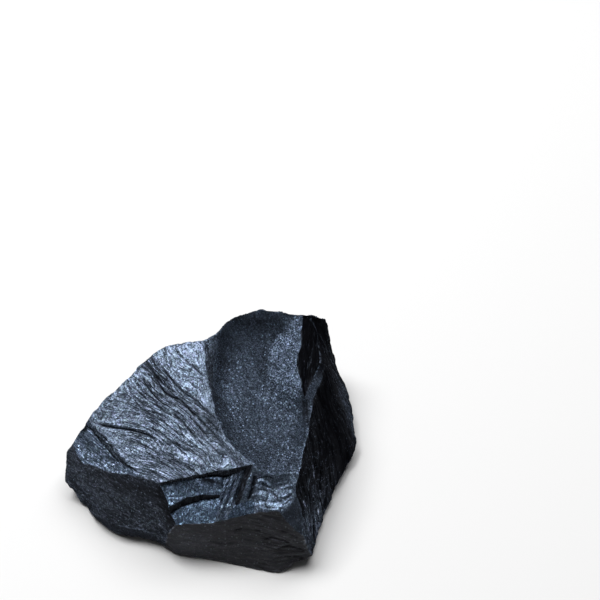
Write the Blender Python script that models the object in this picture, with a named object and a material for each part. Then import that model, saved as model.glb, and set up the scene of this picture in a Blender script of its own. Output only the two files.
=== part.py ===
"""Rough, freshly broken lump of black stone, about 72 x 65 x 31 mm, as one closed solid.

The lump is bounded by fracture faces that meet in sharp arrises. Its corners are set out like a
survey: a corner that shows from the front is sighted from one fixed station, so it is given by its
place on an upright survey sheet (x to the right and y down, in sheet units of about a quarter of a
millimetre) and by its height above the table in millimetres. The corners round the back and the
underside are given straight in millimetres. Each fracture face is a loop of corners, filled with an
even net of triangles and bent by a thin-plate surface through its arrises and its inner heights.
The underside is one flat face, on which the lump rests.
"""

import math

import bmesh
import bpy
import numpy as np
from mathutils import Vector
from mathutils.geometry import delaunay_2d_cdt

# ---- driving dimensions -------------------------------------------------------------------------
MM = 0.001
STATION_TILT = math.radians(45.0)  # how steeply the station looks down
SHEET_REACH = 1666.7  # distance of the sheet from the station, in sheet units
STATION_DISTANCE = 425.0  # depth of the reference point from the station, mm
SHEET_CENTRE = (300.0, 300.0)
SHEET_REFERENCE = (210.0, 440.0)  # the sheet point that sights x = y = 0 on the table
BASE_CENTRE = (1.14, -7.115)  # middle of the box round the lump, moved to the origin at the end, mm
NET = 2.2  # side of the triangle net, mm
FINER = {}  # share of that side for the faces that need a closer or a wider net
RELIEF = 0.35  # height of the broad unevenness on the fracture faces, mm
SEED = 11

# ---- corners seen from the station: (sheet x, sheet y, height in mm) ------------------------------
SIGHTED = {
    # upper arris of the broad left face, from its left tip up to the crest
    "a0": (88, 419.5, 19.5), "a1": (94, 411, 20.3), "a2": (108, 396, 22.0), "a3": (121, 385, 23.4),
    "a4": (133, 373, 24.9), "a5": (149, 358, 26.6), "a6": (166, 346.5, 28.0), "a7": (184, 343, 29.0),
    "a8": (203.5, 341, 29.8),
    # crest behind the scoop, from the left shoulder to the right shoulder
    "b0": (209, 338.4, 30.2), "b1": (219.6, 331.3, 30.7), "b2": (226, 322.5, 31.0),
    "b3": (235.7, 317, 31.2), "b4": (248, 312.5, 31.2), "b5": (260, 310, 31.0),
    "b6": (275, 311, 30.6), "b7": (290, 314, 30.0), "b8": (303, 315, 29.3),
    # arris between the broad left face and the scoop, down to the front tip
    "ab1": (204.5, 352, 29.2), "ab2": (206, 368, 28.1), "ab3": (209, 384, 26.9),
    "ab4": (212.5, 398, 25.9), "ab5": (216, 414, 24.8), "ab6": (221.4, 427, 24.0),
    "ab7": (227, 439.5, 23.2), "ab8": (239, 452.5, 22.6), "tip": (254, 464, 22.0),
    # right side of the narrow ledge along that arris
    "s1": (217, 341, 29.2), "s2": (215.5, 354, 28.0), "s3": (213.8, 368, 26.9), "s4": (213.3, 384, 26.1),
    # right rim of the scoop
    "r1": (302, 325, 29.2), "r2": (300.7, 335, 28.5), "r3": (300.5, 346, 27.9),
    "r4": (297.2, 356, 27.4), "r5": (296.7, 366, 26.8), "r6": (299.7, 377, 26.2),
    "r7": (302, 391, 25.4), "r8": (304.6, 398, 24.9),
    # crack between the scoop and the narrow facet on its right
    "cr1": (305.8, 409, 23.2), "cr2": (305.6, 421, 22.7),
    # arris down the right flank, outside that rim
    "i0": (308.8, 317.4, 27.0), "i1": (313, 322.4, 24.0), "i2": (317, 335.7, 21.0),
    "i3": (318.5, 346.5, 20.5), "i4": (318.5, 366, 21.5), "i5": (312.5, 379, 23.6), "i6": (307.5, 391, 24.6),
    # right shoulder line, above the steep right face
    "j0": (317, 316, 25.5), "j1": (325.4, 320, 21.0), "j2": (324.8, 337, 18.5), "j3": (323.5, 352, 18.5),
    "j4": (323.7, 366, 20.5), "j5": (321, 380, 22.5), "j6": (316, 394, 23.2), "j7": (313, 404, 23.6),
    "j8": (310.4, 416, 23.3), "j9": (308.5, 430, 22.9), "j10": (306, 441, 22.3), "j11": (304, 448, 21.8),
    "j12": (301, 463.5, 20.9), "j13": (298.5, 473.5, 20.4), "j14": (295.8, 484, 19.3), "j15": (296.5, 496, 17.6),
    # foot of the scoop, where it bends down into the lumpy front face
    "f1": (260, 471.5, 20.9), "f2": (268, 474.5, 20.5), "f3": (279, 474.8, 20.2), "f4": (291, 473, 20.3),
    # front arris of the broad left face
    "ae1": (172, 480, 19.6), "ae2": (186, 477.5, 19.9), "ae3": (200, 474, 20.3), "ae4": (212, 472, 20.6),
    "ae5": (224, 470.5, 20.9), "ae6": (235, 467.5, 21.3), "ae7": (246, 465.5, 21.7),
    # foot of the first riser under it
    "el0": (159.5, 485.3, 18.2), "el1": (173, 482.9, 18.3), "el2": (187, 479.8, 18.9),
    "el3": (201, 477.2, 19), "el4": (212.5, 475.6, 19.1), "el5": (224, 476.6, 18.6),
    "el6": (235, 473.5, 19.5), "el7": (245.5, 469, 20.8),
    # outer edge of the upper tread, and foot of the second riser
    "t0": (168.3, 507.5, 15.2), "t1": (176.5, 504, 15.2), "t2": (184, 499.6, 15.6), "t3": (194, 495.9, 16.2),
    "t4": (207, 495, 16.4), "t5": (219.5, 494.8, 16.5), "t6": (223.3, 489, 17.6),
    "w0": (169.8, 514, 12.6), "w1": (178, 508.3, 13.5), "w2": (190, 503.6, 14.1), "w3": (205, 499.4, 14.8),
    "w4": (219.6, 496.8, 15.6),
    # left side of the fluted flank, its valley, and the bright spur to its right
    "n1": (218.5, 505, 14.9), "n2": (216.5, 514, 13.8), "n3": (214.5, 522.7, 12.7),
    "v1": (243.8, 473.5, 19.7), "v2": (240.2, 486.5, 17.7), "v3": (235.2, 500, 15.6), "v4": (230.5, 512, 14.2),
    "k1": (250.8, 472.5, 20.9), "k2": (246.3, 485, 19.5), "k3": (242, 496.5, 17.8), "k4": (239.5, 504, 16.4),
    # back of the small tread in front of the spur
    "e1": (254, 501, 16.6), "e2": (236, 505.5, 15.2),
    # upper arris of the smooth front face
    "g0": (175.9, 525, 11.6), "g1": (186, 524.4, 12.0), "g2": (199, 524, 12.3), "g4": (221.4, 520.8, 12.8),
    "g5": (226.5, 519.5, 13.0), "g6": (231.5, 518.7, 13.2), "g7": (244.6, 516, 13.7), "g8": (253.6, 513.3, 15.2),
    "g9": (266, 511.5, 15.9), "g10": (279.5, 512.3, 16.1), "g11": (282, 515.7, 15.4), "g12": (288, 523, 13.8),
    "g13": (297, 531.8, 12), "g14": (303.2, 535.4, 11),
    # small blue facet at the right front corner
    "h1": (287, 508.6, 16.6), "h2": (301.4, 508.6, 15.4), "h3": (302.3, 519.3, 13.6),
    # front right arris and its raised foot
    "q1": (305, 542.5, 8.3), "q2": (310.4, 553.2, 4.0), "q3": (312.6, 556.8, 2.8), "q4": (303, 560.4, 2),
    "q5": (292.5, 564.5, 1.4), "q6": (314.8, 548, 1.6),
    # left cheek and the top of the dark left face
    "c1": (81.4, 430, 16.2), "c2": (74.9, 438.5, 13.6), "c3": (71.9, 444.4, 12.3), "c4": (66.3, 451.4, 10.8),
    "c5": (76, 452, 12.6), "d1": (80.5, 460.4, 12.2), "d2": (95.7, 466.6, 13.2), "d3": (110, 472, 14.3),
    "d4": (122.5, 473.8, 15.7), "d5": (138.6, 476.4, 17.3), "e0": (158.3, 482.5, 19.3),
    # crease between the left cheek facet and the broad left face
    "x1": (96, 434.5, 17.6), "x2": (104, 445, 16.7), "x3": (112.2, 454.5, 16.4), "x4": (121.6, 462.2, 16.7),
    "x5": (131, 468, 17.1),
    # edge of the broad left face above that crease
    "xa1": (97.4, 431.6, 18.5), "xa2": (106, 438.6, 18), "xa3": (113.4, 446.8, 17.6), "xa4": (122, 457.4, 17.5),
    # right side of the dark left face
    "y1": (164, 493.5, 16.8), "y2": (172.5, 519, 12.3), "y3": (169, 532.5, 8.4), "y4": (165.8, 540.5, 4.0),
    # left outline of the dark face
    "l1": (65.2, 464, 8.3), "l2": (65.3, 479, 5.3), "l3": (70.7, 488, 3.6), "l4": (76, 493.4, 2.2),
    # lower arris of the dark face, above the undercut
    "u1": (98, 517.3, 3.2), "u2": (108, 522, 4.2), "u3": (121.6, 526.4, 4.6), "u4": (129.6, 528.2, 4.6),
    "u5": (146.6, 531.8, 4.2), "u6": (157.5, 538, 2.8),
    # outline on the table, from the left round the front to the right
    "z0": (79.6, 500.5, 1), "z1": (86.8, 506.8, 0.9), "z2": (91.3, 514, 0.8), "z3": (98.4, 520.2, 0.7),
    "z4": (106.4, 527.3, 0.6), "z5": (117, 533.6, 0.6), "z6": (126, 536.3, 0.6), "z7": (136.8, 537, 0.7),
    "z8": (149.3, 539.8, 0.8), "z9": (156.4, 541.6, 0.9), "z10": (166, 546.5, 0.9), "z11": (172.5, 551.6, 0.8),
    "z12": (180, 554.6, 0.6), "z13": (197, 557.5, 0.4), "z14": (212.5, 559.6, 0.4), "z15": (239, 565, 0.4),
    "z16": (257, 568.6, 0.4), "z17": (275, 571.7, 0.5), "z18": (282, 571, 0.8),
    "z19": (317.5, 534.5, 1.2), "z20": (322.9, 520.2, 1.2), "z21": (326.4, 510.4, 1.3), "z22": (332.7, 495.2, 1.5),
    "z23": (337, 485.4, 1.8), "z24": (342.5, 474.6, 2), "z25": (348.8, 462, 2.4), "z26": (354, 453.2, 2.8),
    "z27": (356, 441, 3),
}

# ---- corners round the back and the underside: (x, y, z) in mm ------------------------------------
BEHIND = {
    # lower outline, from the right round the back to the left
    "o1": (36.4, 5.5, 3.0), "o2": (34.8, 13.5, 3.4), "o3": (31.8, 21.0, 3.0), "o4": (25.5, 25.5, 2.4),
    "o5": (15.5, 27.0, 2.0), "o6": (6.0, 23.0, 2.8), "o7": (-4.0, 18.0, 3.2), "o8": (-12.5, 16.6, 2.4),
    "o9": (-19.5, 10.5, 1.8), "o10": (-26.0, 5.0, 2.0), "o11": (-30.8, -2.0, 2.4), "o12": (-33.0, -9.0, 2.6),
    "o13": (-32.6, -14.5, 1.6),
    # broken line half way up the back
    "m1": (-33.5, -9.0, 7.0), "m2": (-29.4, -2.2, 9.0), "m3": (-23.0, 2.6, 14.2), "m4": (-17.0, 11.4, 11.5),
    "m5": (-6.0, 12.4, 16.0), "m6": (3.0, 20.2, 17.4), "m7": (12.5, 26.0, 13.0), "m8": (23.0, 27.0, 16.5),
    "m9": (31.8, 20.5, 9.5),
    # a gully and a buttress above it
    "n11": (-2.4, 9.0, 22.8), "n12": (13.0, 21.6, 23.4),
    # rim of the flat underside, from the left round the front to the right and back
    "p0": (-27.5, -18.5, 0), "p1": (-25.0, -22.0, 0), "p2": (-20.5, -25.5, 0), "p3": (-14.0, -27.5, 0),
    "p4": (-7.5, -31.0, 0), "p5": (-1.0, -34.5, 0), "p6": (8.0, -37.3, 0), "p7": (16.5, -38.8, 0),
    "p8": (20.5, -36.5, 0), "p9": (23.5, -31.0, 0), "p10": (26.5, -22.0, 0), "p11": (30.0, -12.0, 0),
    "p12": (31.5, -3.0, 0), "p13": (30.0, 6.5, 0), "p14": (26.5, 15.5, 0), "p15": (17.0, 20.0, 0),
    "p16": (6.0, 18.5, 0), "p17": (-4.5, 14.5, 0), "p18": (-14.0, 9.0, 0), "p19": (-22.5, 1.5, 0),
    "p20": (-28.0, -8.0, 0), "p21": (-28.5, -14.0, 0),
}

# ---- fracture faces: loops of corners ------------------------------------------------------------
FACES = {
    "broad_left": "a0 a1 a2 a3 a4 a5 a6 a7 a8 ab1 ab2 ab3 ab4 ab5 ab6 ab7 ab8 tip ae7 ae6 ae5 ae4 ae3 ae2 ae1 e0 d5 x5 xa4 xa3 xa2 xa1",
    "ledge": "a8 b0 b1 s1 s2 s3 s4 ab4 ab3 ab2 ab1",
    "scoop": "b1 b2 b3 b4 b5 b6 b7 b8 r1 r2 r3 r4 r5 r6 r7 r8 cr1 cr2 j9 j10 j11 j12 j13 f4 f3 f2 f1 tip ab8 ab7 ab6 ab5 ab4 s4 s3 s2 s1",
    "rim_facet": "i4 j4 j5 j6 j7 j8 j9 cr2 cr1 r8 i6 i5",
    "right_notch": "b8 i0 i1 i2 i3 i4 i5 i6 r8 r7 r6 r5 r4 r3 r2 r1",
    "right_shoulder": "b8 j0 j1 j2 j3 j4 i4 i3 i2 i1 i0",
    "cheek_riser": "a0 xa1 xa2 xa3 xa4 x5 x4 x3 x2 x1",
    "left_cheek": "a0 x1 x2 x3 x4 x5 d5 d4 d3 d2 d1 c5 c3 c2 c1",
    "dark_left": "c4 c3 c5 d1 d2 d3 d4 d5 e0 el0 y1 t0 w0 y2 g0 y3 y4 z10 u6 u5 u4 u3 u2 u1 z2 z1 z0 l4 l3 l2 l1",
    "undercut": "z2 u1 u2 u3 u4 u5 u6 z10 z9 z8 z7 z6 z5 z4 z3",
    "riser_1": "e0 ae1 ae2 ae3 ae4 ae5 ae6 ae7 el7 el6 el5 el4 el3 el2 el1 el0",
    "tread_1": "el0 el1 el2 el3 el4 el5 t6 t5 t4 t3 t2 t1 t0 y1",
    "riser_2": "t0 t1 t2 t3 t4 t5 w4 w3 w2 w1 w0",
    "tread_2": "w0 w1 w2 w3 w4 n1 n2 n3 g2 g1 g0 y2",
    "flutes": "el5 el6 el7 v1 v2 v3 e2 v4 g5 g4 n3 n2 n1 w4 t5 t6",
    "spur_side": "ae7 tip k1 k2 k3 k4 e2 v3 v2 v1 el7",
    "tread_3": "v4 e2 k4 e1 g8 g7 g6 g5",
    "lumpy_front": "tip f1 f2 f3 f4 j13 j14 j15 h1 g11 g10 g9 g8 e1 k4 k3 k2 k1",
    "corner_facet": "j15 h2 h3 g14 g13 g12 g11 h1",
    "smooth_front": "g0 g1 g2 n3 g4 g5 g6 g7 g8 g9 g10 g11 g12 g13 g14 q1 q2 q3 q4 q5 z18 z17 z16 z15 z14 z13 z12 z11 z10 y4 y3",
    "right_face": "j1 j2 j3 j4 j5 j6 j7 j8 j9 j10 j11 j12 j13 j14 j15 h2 h3 g14 q1 q2 q3 q6 z19 z20 z21 z22 z23 z24 z25 z26 z27 o1 o2 o3 m9",
    "front_chip": "z18 q5 q4 q3 q6 z19",
    "back_left": "a0 a1 a2 m3 m2 m1 c4 c3 c2 c1",
    "back_left_upper": "a2 a3 a4 a5 a6 m4 m3",
    "back_left_foot": "m1 m2 m3 o10 o11 o12",
    "back_left_lower": "m3 m4 m5 o7 o8 o9 o10",
    "left_foot": "c4 l1 l2 l3 l4 z0 o13 o12 m1",
    "back_gully_left": "a6 a7 a8 b0 n11 m5 m4",
    "back_gully_right": "b0 b1 b2 b3 m6 m5 n11",
    "back_middle_foot": "m5 m6 m7 o5 o6 o7",
    "back_right": "b3 b4 b5 n12 m7 m6",
    "back_right_outer": "b5 b6 m8 m7 n12",
    "back_corner": "b6 b7 b8 j0 j1 m9 m8",
    "back_right_foot": "m7 m8 m9 o3 o4 o5",
    "foot_left": "z0 z1 z2 z3 z4 z5 z6 p3 p2 p1 p0",
    "foot_gap": "z6 z7 z8 z9 z10 z11 z12 p5 p4 p3",
    "foot_front": "z12 z13 z14 z15 z16 z17 z18 p7 p6 p5",
    "foot_corner": "z18 z19 z20 z21 z22 p10 p9 p8 p7",
    "foot_right": "z22 z23 z24 z25 z26 z27 o1 p13 p12 p11 p10",
    "foot_back_right": "o1 o2 o3 o4 o5 p15 p14 p13",
    "foot_back": "o5 o6 o7 o8 o9 p18 p17 p16 p15",
    "foot_back_left": "o9 o10 o11 o12 o13 z0 p0 p21 p20 p19 p18",
    "underside": "p0 p1 p2 p3 p4 p5 p6 p7 p8 p9 p10 p11 p12 p13 p14 p15 p16 p17 p18 p19 p20 p21",
}

# ---- heights inside a face that isn't flat, sighted as above ----------------------------------------
INNER = {
    "scoop": [
        (238, 331, 28.3), (262, 330, 27.4), (282, 334, 26.9),
        (225, 350, 26.8), (245, 350, 25.6), (265, 352, 24.7), (284, 350, 26.3),
        (222, 370, 25.0), (242, 370, 24.0), (266, 371, 23.0), (282, 370, 24.8),
        (222, 390, 24.1), (242, 390, 22.9), (264, 392, 22.0), (286, 390, 23.8),
        (226, 410, 23.0), (246, 410, 21.9), (270, 410, 21.1), (292, 410, 21.9),
        (235, 430, 22.1), (256, 430, 21.0), (276, 430, 20.5), (294, 430, 20.6),
        (250, 449, 21.3), (270, 450, 20.5), (288, 449, 20.2), (270, 463, 20.4), (286, 463, 20.0),
    ],
    "lumpy_front": [
        (262, 483, 18.6), (275, 484, 18.3), (287, 485, 18.2), (258, 492, 17.6), (270, 494, 17.4),
        (283, 495, 17.4), (264, 503, 16.6), (276, 504, 16.6),
    ],
}

# the same for the faces round the back, in mm
INNER_BEHIND = {
    "back_left": [(-29.3, -6.6, 13.0), (-26.6, -3.4, 15.0)],
    "back_left_upper": [(-17.6, 4.6, 18.4), (-14.6, 6.8, 19.4)],
    "back_right": [(6.6, 17.2, 23.4), (8.6, 20.0, 19.6), (10.4, 17.6, 25.6)],
    "back_right_outer": [(18.2, 20.6, 23.2), (18.8, 24.0, 18.4)],
    "back_corner": [(24.6, 20.4, 21.6), (26.6, 22.0, 16.2)],
    "back_middle_foot": [(4.2, 20.6, 10.4), (9.4, 22.6, 8.6)],
}


# ---- setting out -----------------------------------------------------------------------------------
RIGHT = np.array((1.0, 0.0, 0.0))
UP = np.array((0.0, math.sin(STATION_TILT), math.cos(STATION_TILT)))
AHEAD = np.array((0.0, math.cos(STATION_TILT), -math.sin(STATION_TILT)))


def ray(x, y):
    """Direction from the station through a point of the sheet."""
    return (
        (x - SHEET_CENTRE[0]) / SHEET_REACH * RIGHT
        + (SHEET_CENTRE[1] - y) / SHEET_REACH * UP
        + AHEAD
    )


STATION = -STATION_DISTANCE * ray(*SHEET_REFERENCE)


def sight(x, y, height):
    """The point at this height, in mm, that is seen through a point of the sheet."""
    direction = ray(x, y)
    return STATION + (height - STATION[2]) / direction[2] * direction


def corner_places():
    places = {name: sight(*entry) for name, entry in SIGHTED.items()}
    places.update({name: np.array(entry, dtype=float) for name, entry in BEHIND.items()})
    return places


# ---- smooth random relief --------------------------------------------------------------------------
def lattice_value(i, j, k, seed):
    """A fixed pseudo-random value between -1 and 1 for each whole-number cell corner."""
    n = (i * 374761393 + j * 668265263 + k * 1274126177 + seed * 974711) & 0xFFFFFFFF
    n = ((n ^ (n >> 13)) * 1103515245) & 0xFFFFFFFF
    n = ((n ^ (n >> 16)) * 2246822519) & 0xFFFFFFFF
    n = n ^ (n >> 15)
    return (n & 0xFFFFFF) / float(0x7FFFFF) - 1.0


def smooth_noise(points, scale, seed):
    """Value noise with a quintic fade, one octave, for an array of points."""
    p = np.asarray(points) / scale
    cell = np.floor(p).astype(np.int64)
    f = p - cell
    f = f * f * f * (f * (f * 6 - 15) + 10)
    total = np.zeros(len(p))
    for di in (0, 1):
        wx = f[:, 0] if di else 1 - f[:, 0]
        for dj in (0, 1):
            wy = f[:, 1] if dj else 1 - f[:, 1]
            for dk in (0, 1):
                wz = f[:, 2] if dk else 1 - f[:, 2]
                value = lattice_value(cell[:, 0] + di, cell[:, 1] + dj, cell[:, 2] + dk, seed)
                total += wx * wy * wz * value
    return total


# ---- arrises ---------------------------------------------------------------------------------------
def face_loops():
    return {name: loop.split() for name, loop in FACES.items()}


def arris_chains(loops):
    """Split the edges of the faces into runs that part the same two faces."""
    faces_of = {}
    for name, loop in loops.items():
        for a, b in zip(loop, loop[1:] + loop[:1]):
            faces_of.setdefault(frozenset((a, b)), []).append(name)
    for edge, names in faces_of.items():
        if len(names) != 2:
            raise ValueError(f"edge {sorted(edge)} has faces {names}")
    meets = {}
    for edge, names in faces_of.items():
        for corner in edge:
            meets.setdefault(corner, []).append((edge, frozenset(names)))
    ends = {corner for corner, runs in meets.items() if len(runs) != 2}
    chains, used = [], set()
    for start in sorted(ends):
        for edge, _ in meets[start]:
            if edge in used:
                continue
            chain, here, run = [start], start, edge
            while True:
                used.add(run)
                here = next(c for c in run if c != here)
                chain.append(here)
                if here in ends:
                    break
                run = next(e for e, _ in meets[here] if e != run)
            chains.append(chain)
    return chains


def curve_through(points, step):
    """Points along a smooth curve through the given ones, kept as rows, with the count of each span."""
    rows, counts = [], []
    for k in range(len(points) - 1):
        a, b = points[k], points[k + 1]
        before = points[k - 1] if k else a + (a - b) * 0.6
        after = points[k + 2] if k + 2 < len(points) else b + (b - a) * 0.6
        length = np.linalg.norm(b - a)
        n = max(1, int(math.ceil(length / step)))
        la = max(np.linalg.norm(a - before), 0.5 * length)
        lb = max(np.linalg.norm(after - b), 0.5 * length)
        ta = 0.5 * ((b - a) / length + (a - before) / la) * length * 0.9
        tb = 0.5 * ((after - b) / lb + (b - a) / length) * length * 0.9
        for i in range(n):
            t = i / n
            rows.append(
                (2 * t**3 - 3 * t**2 + 1) * a
                + (t**3 - 2 * t**2 + t) * ta
                + (-2 * t**3 + 3 * t**2) * b
                + (t**3 - t**2) * tb
            )
        counts.append(n)
    rows.append(points[-1])
    return rows, counts


# ---- faces -----------------------------------------------------------------------------------------
def face_axes(rim):
    """Middle of a closed rim, and its two in-plane axes and normal as rows."""
    middle = rim.mean(axis=0)
    following = np.roll(rim, -1, axis=0)
    normal = np.cross(rim - middle, following - middle).sum(axis=0)
    normal /= np.linalg.norm(normal)
    side = RIGHT - normal * normal[0]
    if np.linalg.norm(side) < 0.3:
        side = UP - normal * normal.dot(UP)
    side /= np.linalg.norm(side)
    return middle, np.array((side, np.cross(normal, side), normal))


def thin_plate(known, heights, wanted):
    """Bend a thin plate through the known heights and read it at the wanted places."""
    middle, spread = known.mean(axis=0), max(known.std(), 1e-6)
    a, b = (known - middle) / spread, (wanted - middle) / spread

    def kernel(p, q):
        squared = ((p[:, None, :] - q[None, :, :]) ** 2).sum(axis=2)
        return 0.5 * squared * np.log(squared + 1e-12)

    n = len(a)
    system = np.zeros((n + 3, n + 3))
    system[:n, :n] = kernel(a, a) + np.eye(n) * 1e-4
    system[:n, n] = system[n, :n] = 1.0
    system[:n, n + 1 :] = a
    system[n + 1 :, :n] = a.T
    weights = np.linalg.solve(system, np.concatenate((heights, np.zeros(3))))
    out = np.empty(len(b))
    for i in range(0, len(b), 4096):
        part = b[i : i + 4096]
        out[i : i + 4096] = kernel(part, a) @ weights[:n] + weights[n] + part @ weights[n + 1 :]
    return out


def inside_net(flat, net):
    """Points of a staggered lattice, clear of the rim; the rim's own outside is cut off later."""
    low, high = flat.min(axis=0), flat.max(axis=0)
    rise = net * math.sqrt(3) / 2
    rows = np.arange(low[1] + 0.5 * rise, high[1], rise)
    columns = np.arange(low[0], high[0] + net, net)
    grid = np.array([(x + (0.5 * net if r % 2 else 0.0), y) for r, y in enumerate(rows) for x in columns])
    if not len(grid):
        return np.empty((0, 2))
    start, end = flat, np.roll(flat, -1, axis=0)
    run = end - start
    squared = (run**2).sum(axis=1) + 1e-12
    keep = np.ones(len(grid), dtype=bool)
    for i in range(0, len(grid), 2048):
        part = grid[i : i + 2048, None, :] - start[None, :, :]
        along = np.clip((part * run).sum(axis=2) / squared, 0, 1)
        gap = np.sqrt(((part - along[:, :, None] * run) ** 2).sum(axis=2)).min(axis=1)
        crossings = (
            ((start[None, :, 1] > grid[i : i + 2048, None, 1]) != (end[None, :, 1] > grid[i : i + 2048, None, 1]))
            & (
                grid[i : i + 2048, None, 0]
                < start[None, :, 0]
                + (grid[i : i + 2048, None, 1] - start[None, :, 1])
                / np.where(np.abs(run[None, :, 1]) < 1e-12, 1e-12, run[None, :, 1])
                * run[None, :, 0]
            )
        ).sum(axis=1)
        keep[i : i + 2048] = (gap > 0.5 * net) & (crossings % 2 == 1)
    return grid[keep]


def fill_face(name, rim, net):
    """Net of one face: its inner points, and triangles that number the rim first."""
    middle, axes = face_axes(rim)
    local = (rim - middle) @ axes.T
    inner = np.empty((0, 2)) if name == "underside" else inside_net(local[:, :2], net)
    flat = [Vector(p) for p in local[:, :2]] + [Vector(p) for p in inner]
    count = len(rim)
    _, _, triangles, came_from, _, _ = delaunay_2d_cdt(
        flat, [(i, (i + 1) % count) for i in range(count)], [list(range(count))], 1, 1e-7
    )
    origins = [source[0] for source in came_from]
    triangles = [[origins[i] for i in triangle] for triangle in triangles]
    if not len(inner):
        return np.empty((0, 3)), triangles
    gap = max(1, int(round(1.6 / (np.linalg.norm(rim - np.roll(rim, 1, axis=0), axis=1).mean()))))
    known = local[::gap]
    inside = [sight(*entry) for entry in INNER.get(name, ())]
    inside += [np.array(entry, dtype=float) for entry in INNER_BEHIND.get(name, ())]
    if inside:
        known = np.concatenate((known, (np.array(inside) - middle) @ axes.T))
    heights = thin_plate(known[:, :2], known[:, 2], inner)
    return middle + np.column_stack((inner, heights)) @ axes, triangles


def assemble(net):
    """Places in mm, triangles, and the face that each triangle belongs to."""
    loops, places = face_loops(), corner_places()
    rows, index = [], {}
    for name in sorted({corner for loop in loops.values() for corner in loop}):
        index[name] = len(rows)
        rows.append(places[name])
    between = {}
    for chain in arris_chains(loops):
        points, counts = curve_through([places[name] for name in chain], net)
        at = 0
        for (a, b), n in zip(zip(chain, chain[1:]), counts):
            numbers = []
            for i in range(1, n):
                numbers.append(len(rows))
                rows.append(points[at + i])
            at += n
            between[(a, b)] = numbers
            between[(b, a)] = numbers[::-1]
    triangles, owner = [], []
    for number, (name, loop) in enumerate(loops.items()):
        rim = []
        for a, b in zip(loop, loop[1:] + loop[:1]):
            rim.append(index[a])
            rim.extend(between[(a, b)])
        inner, net_triangles = fill_face(name, np.array([rows[i] for i in rim]), net * FINER.get(name, 1.0))
        first = len(rows)
        rows.extend(inner)
        numbers = rim + list(range(first, first + len(inner)))
        triangles.extend([[numbers[i] for i in triangle] for triangle in net_triangles])
        owner.extend([number] * len(net_triangles))
    return np.array(rows), triangles, owner


def add_relief(mesh_points, normals):
    """Broad unevenness of a natural break, faded out near the table so that the foot stays flat."""
    fade = np.clip(mesh_points[:, 2] / 3.0, 0.0, 1.0)
    height = 0.7 * smooth_noise(mesh_points, 9.0, SEED) + 0.3 * smooth_noise(mesh_points, 4.0, SEED + 1)
    return mesh_points + normals * (RELIEF * fade * height)[:, None]


def make_stone():
    places, triangles, _ = assemble(NET)
    mesh = bpy.data.meshes.new("stone")
    shape = bmesh.new()
    corners = [shape.verts.new(place) for place in places]
    for triangle in triangles:
        shape.faces.new([corners[i] for i in triangle])
    bmesh.ops.recalc_face_normals(shape, faces=shape.faces)
    shape.normal_update()
    shape.verts.ensure_lookup_table()
    normals = np.array([tuple(v.normal) for v in shape.verts])
    moved = add_relief(places, normals)
    moved -= (BASE_CENTRE[0], BASE_CENTRE[1], 0.0)
    for vert, place in zip(shape.verts, moved):
        vert.co = place * MM
    shape.to_mesh(mesh)
    shape.free()
    stone = bpy.data.objects.new("stone", mesh)
    bpy.context.collection.objects.link(stone)
    return stone


def black_stone():
    """Dense, dark blue-black stone with a dull, silky break."""
    material = bpy.data.materials.new("black_stone")
    material.use_nodes = True
    shader = material.node_tree.nodes["Principled BSDF"]
    shader.inputs["Base Color"].default_value = (0.020, 0.025, 0.034, 1.0)
    shader.inputs["Roughness"].default_value = 0.45
    shader.inputs["Metallic"].default_value = 0.0
    return material


for old in list(bpy.data.objects):
    bpy.data.objects.remove(old, do_unlink=True)

stone = make_stone()
stone.data.materials.append(black_stone())
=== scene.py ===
"""Looks of the rough black stone: a fine surface over the same fracture faces, its finish, a pale
floor, soft studio light and the camera.

The lump is set out as its construction was: corners that show from the front are sighted from one
station through an upright sheet, corners round the back are given straight, and each fracture face
is a loop of corners. Here the net is fine enough to hold the ribs, steps, flutes, ripples and grain
as real geometry. Lengths are in millimetres until the mesh is written.
"""

import math

import bmesh
import bpy
import numpy as np
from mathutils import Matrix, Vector
from mathutils.geometry import delaunay_2d_cdt
from mathutils.kdtree import KDTree


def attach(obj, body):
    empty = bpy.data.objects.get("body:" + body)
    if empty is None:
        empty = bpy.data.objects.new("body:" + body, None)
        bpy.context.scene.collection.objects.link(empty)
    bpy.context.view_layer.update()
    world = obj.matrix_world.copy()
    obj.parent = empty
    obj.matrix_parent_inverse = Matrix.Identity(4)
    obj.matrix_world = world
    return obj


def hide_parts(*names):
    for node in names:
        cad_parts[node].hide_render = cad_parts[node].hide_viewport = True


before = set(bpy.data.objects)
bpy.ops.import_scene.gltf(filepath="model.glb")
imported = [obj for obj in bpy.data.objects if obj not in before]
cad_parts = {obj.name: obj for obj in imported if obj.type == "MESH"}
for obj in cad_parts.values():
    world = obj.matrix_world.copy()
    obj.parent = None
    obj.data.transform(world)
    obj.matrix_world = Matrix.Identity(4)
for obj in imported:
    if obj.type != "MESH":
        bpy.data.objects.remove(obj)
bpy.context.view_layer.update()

# ---- driving dimensions -------------------------------------------------------------------------
MM = 0.001
STATION_TILT = math.radians(45.0)  # how steeply the station looks down
SHEET_REACH = 1666.7  # distance of the sheet from the station, in sheet units
STATION_DISTANCE = 425.0  # depth of the reference point from the station, mm
SHEET_CENTRE = (300.0, 300.0)
SHEET_REFERENCE = (210.0, 440.0)  # the sheet point that sights x = y = 0 on the table
BASE_CENTRE = (1.14, -7.115)  # middle of the box round the lump, moved to the origin at the end, mm
NET = 0.34  # side of the triangle net, mm
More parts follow.
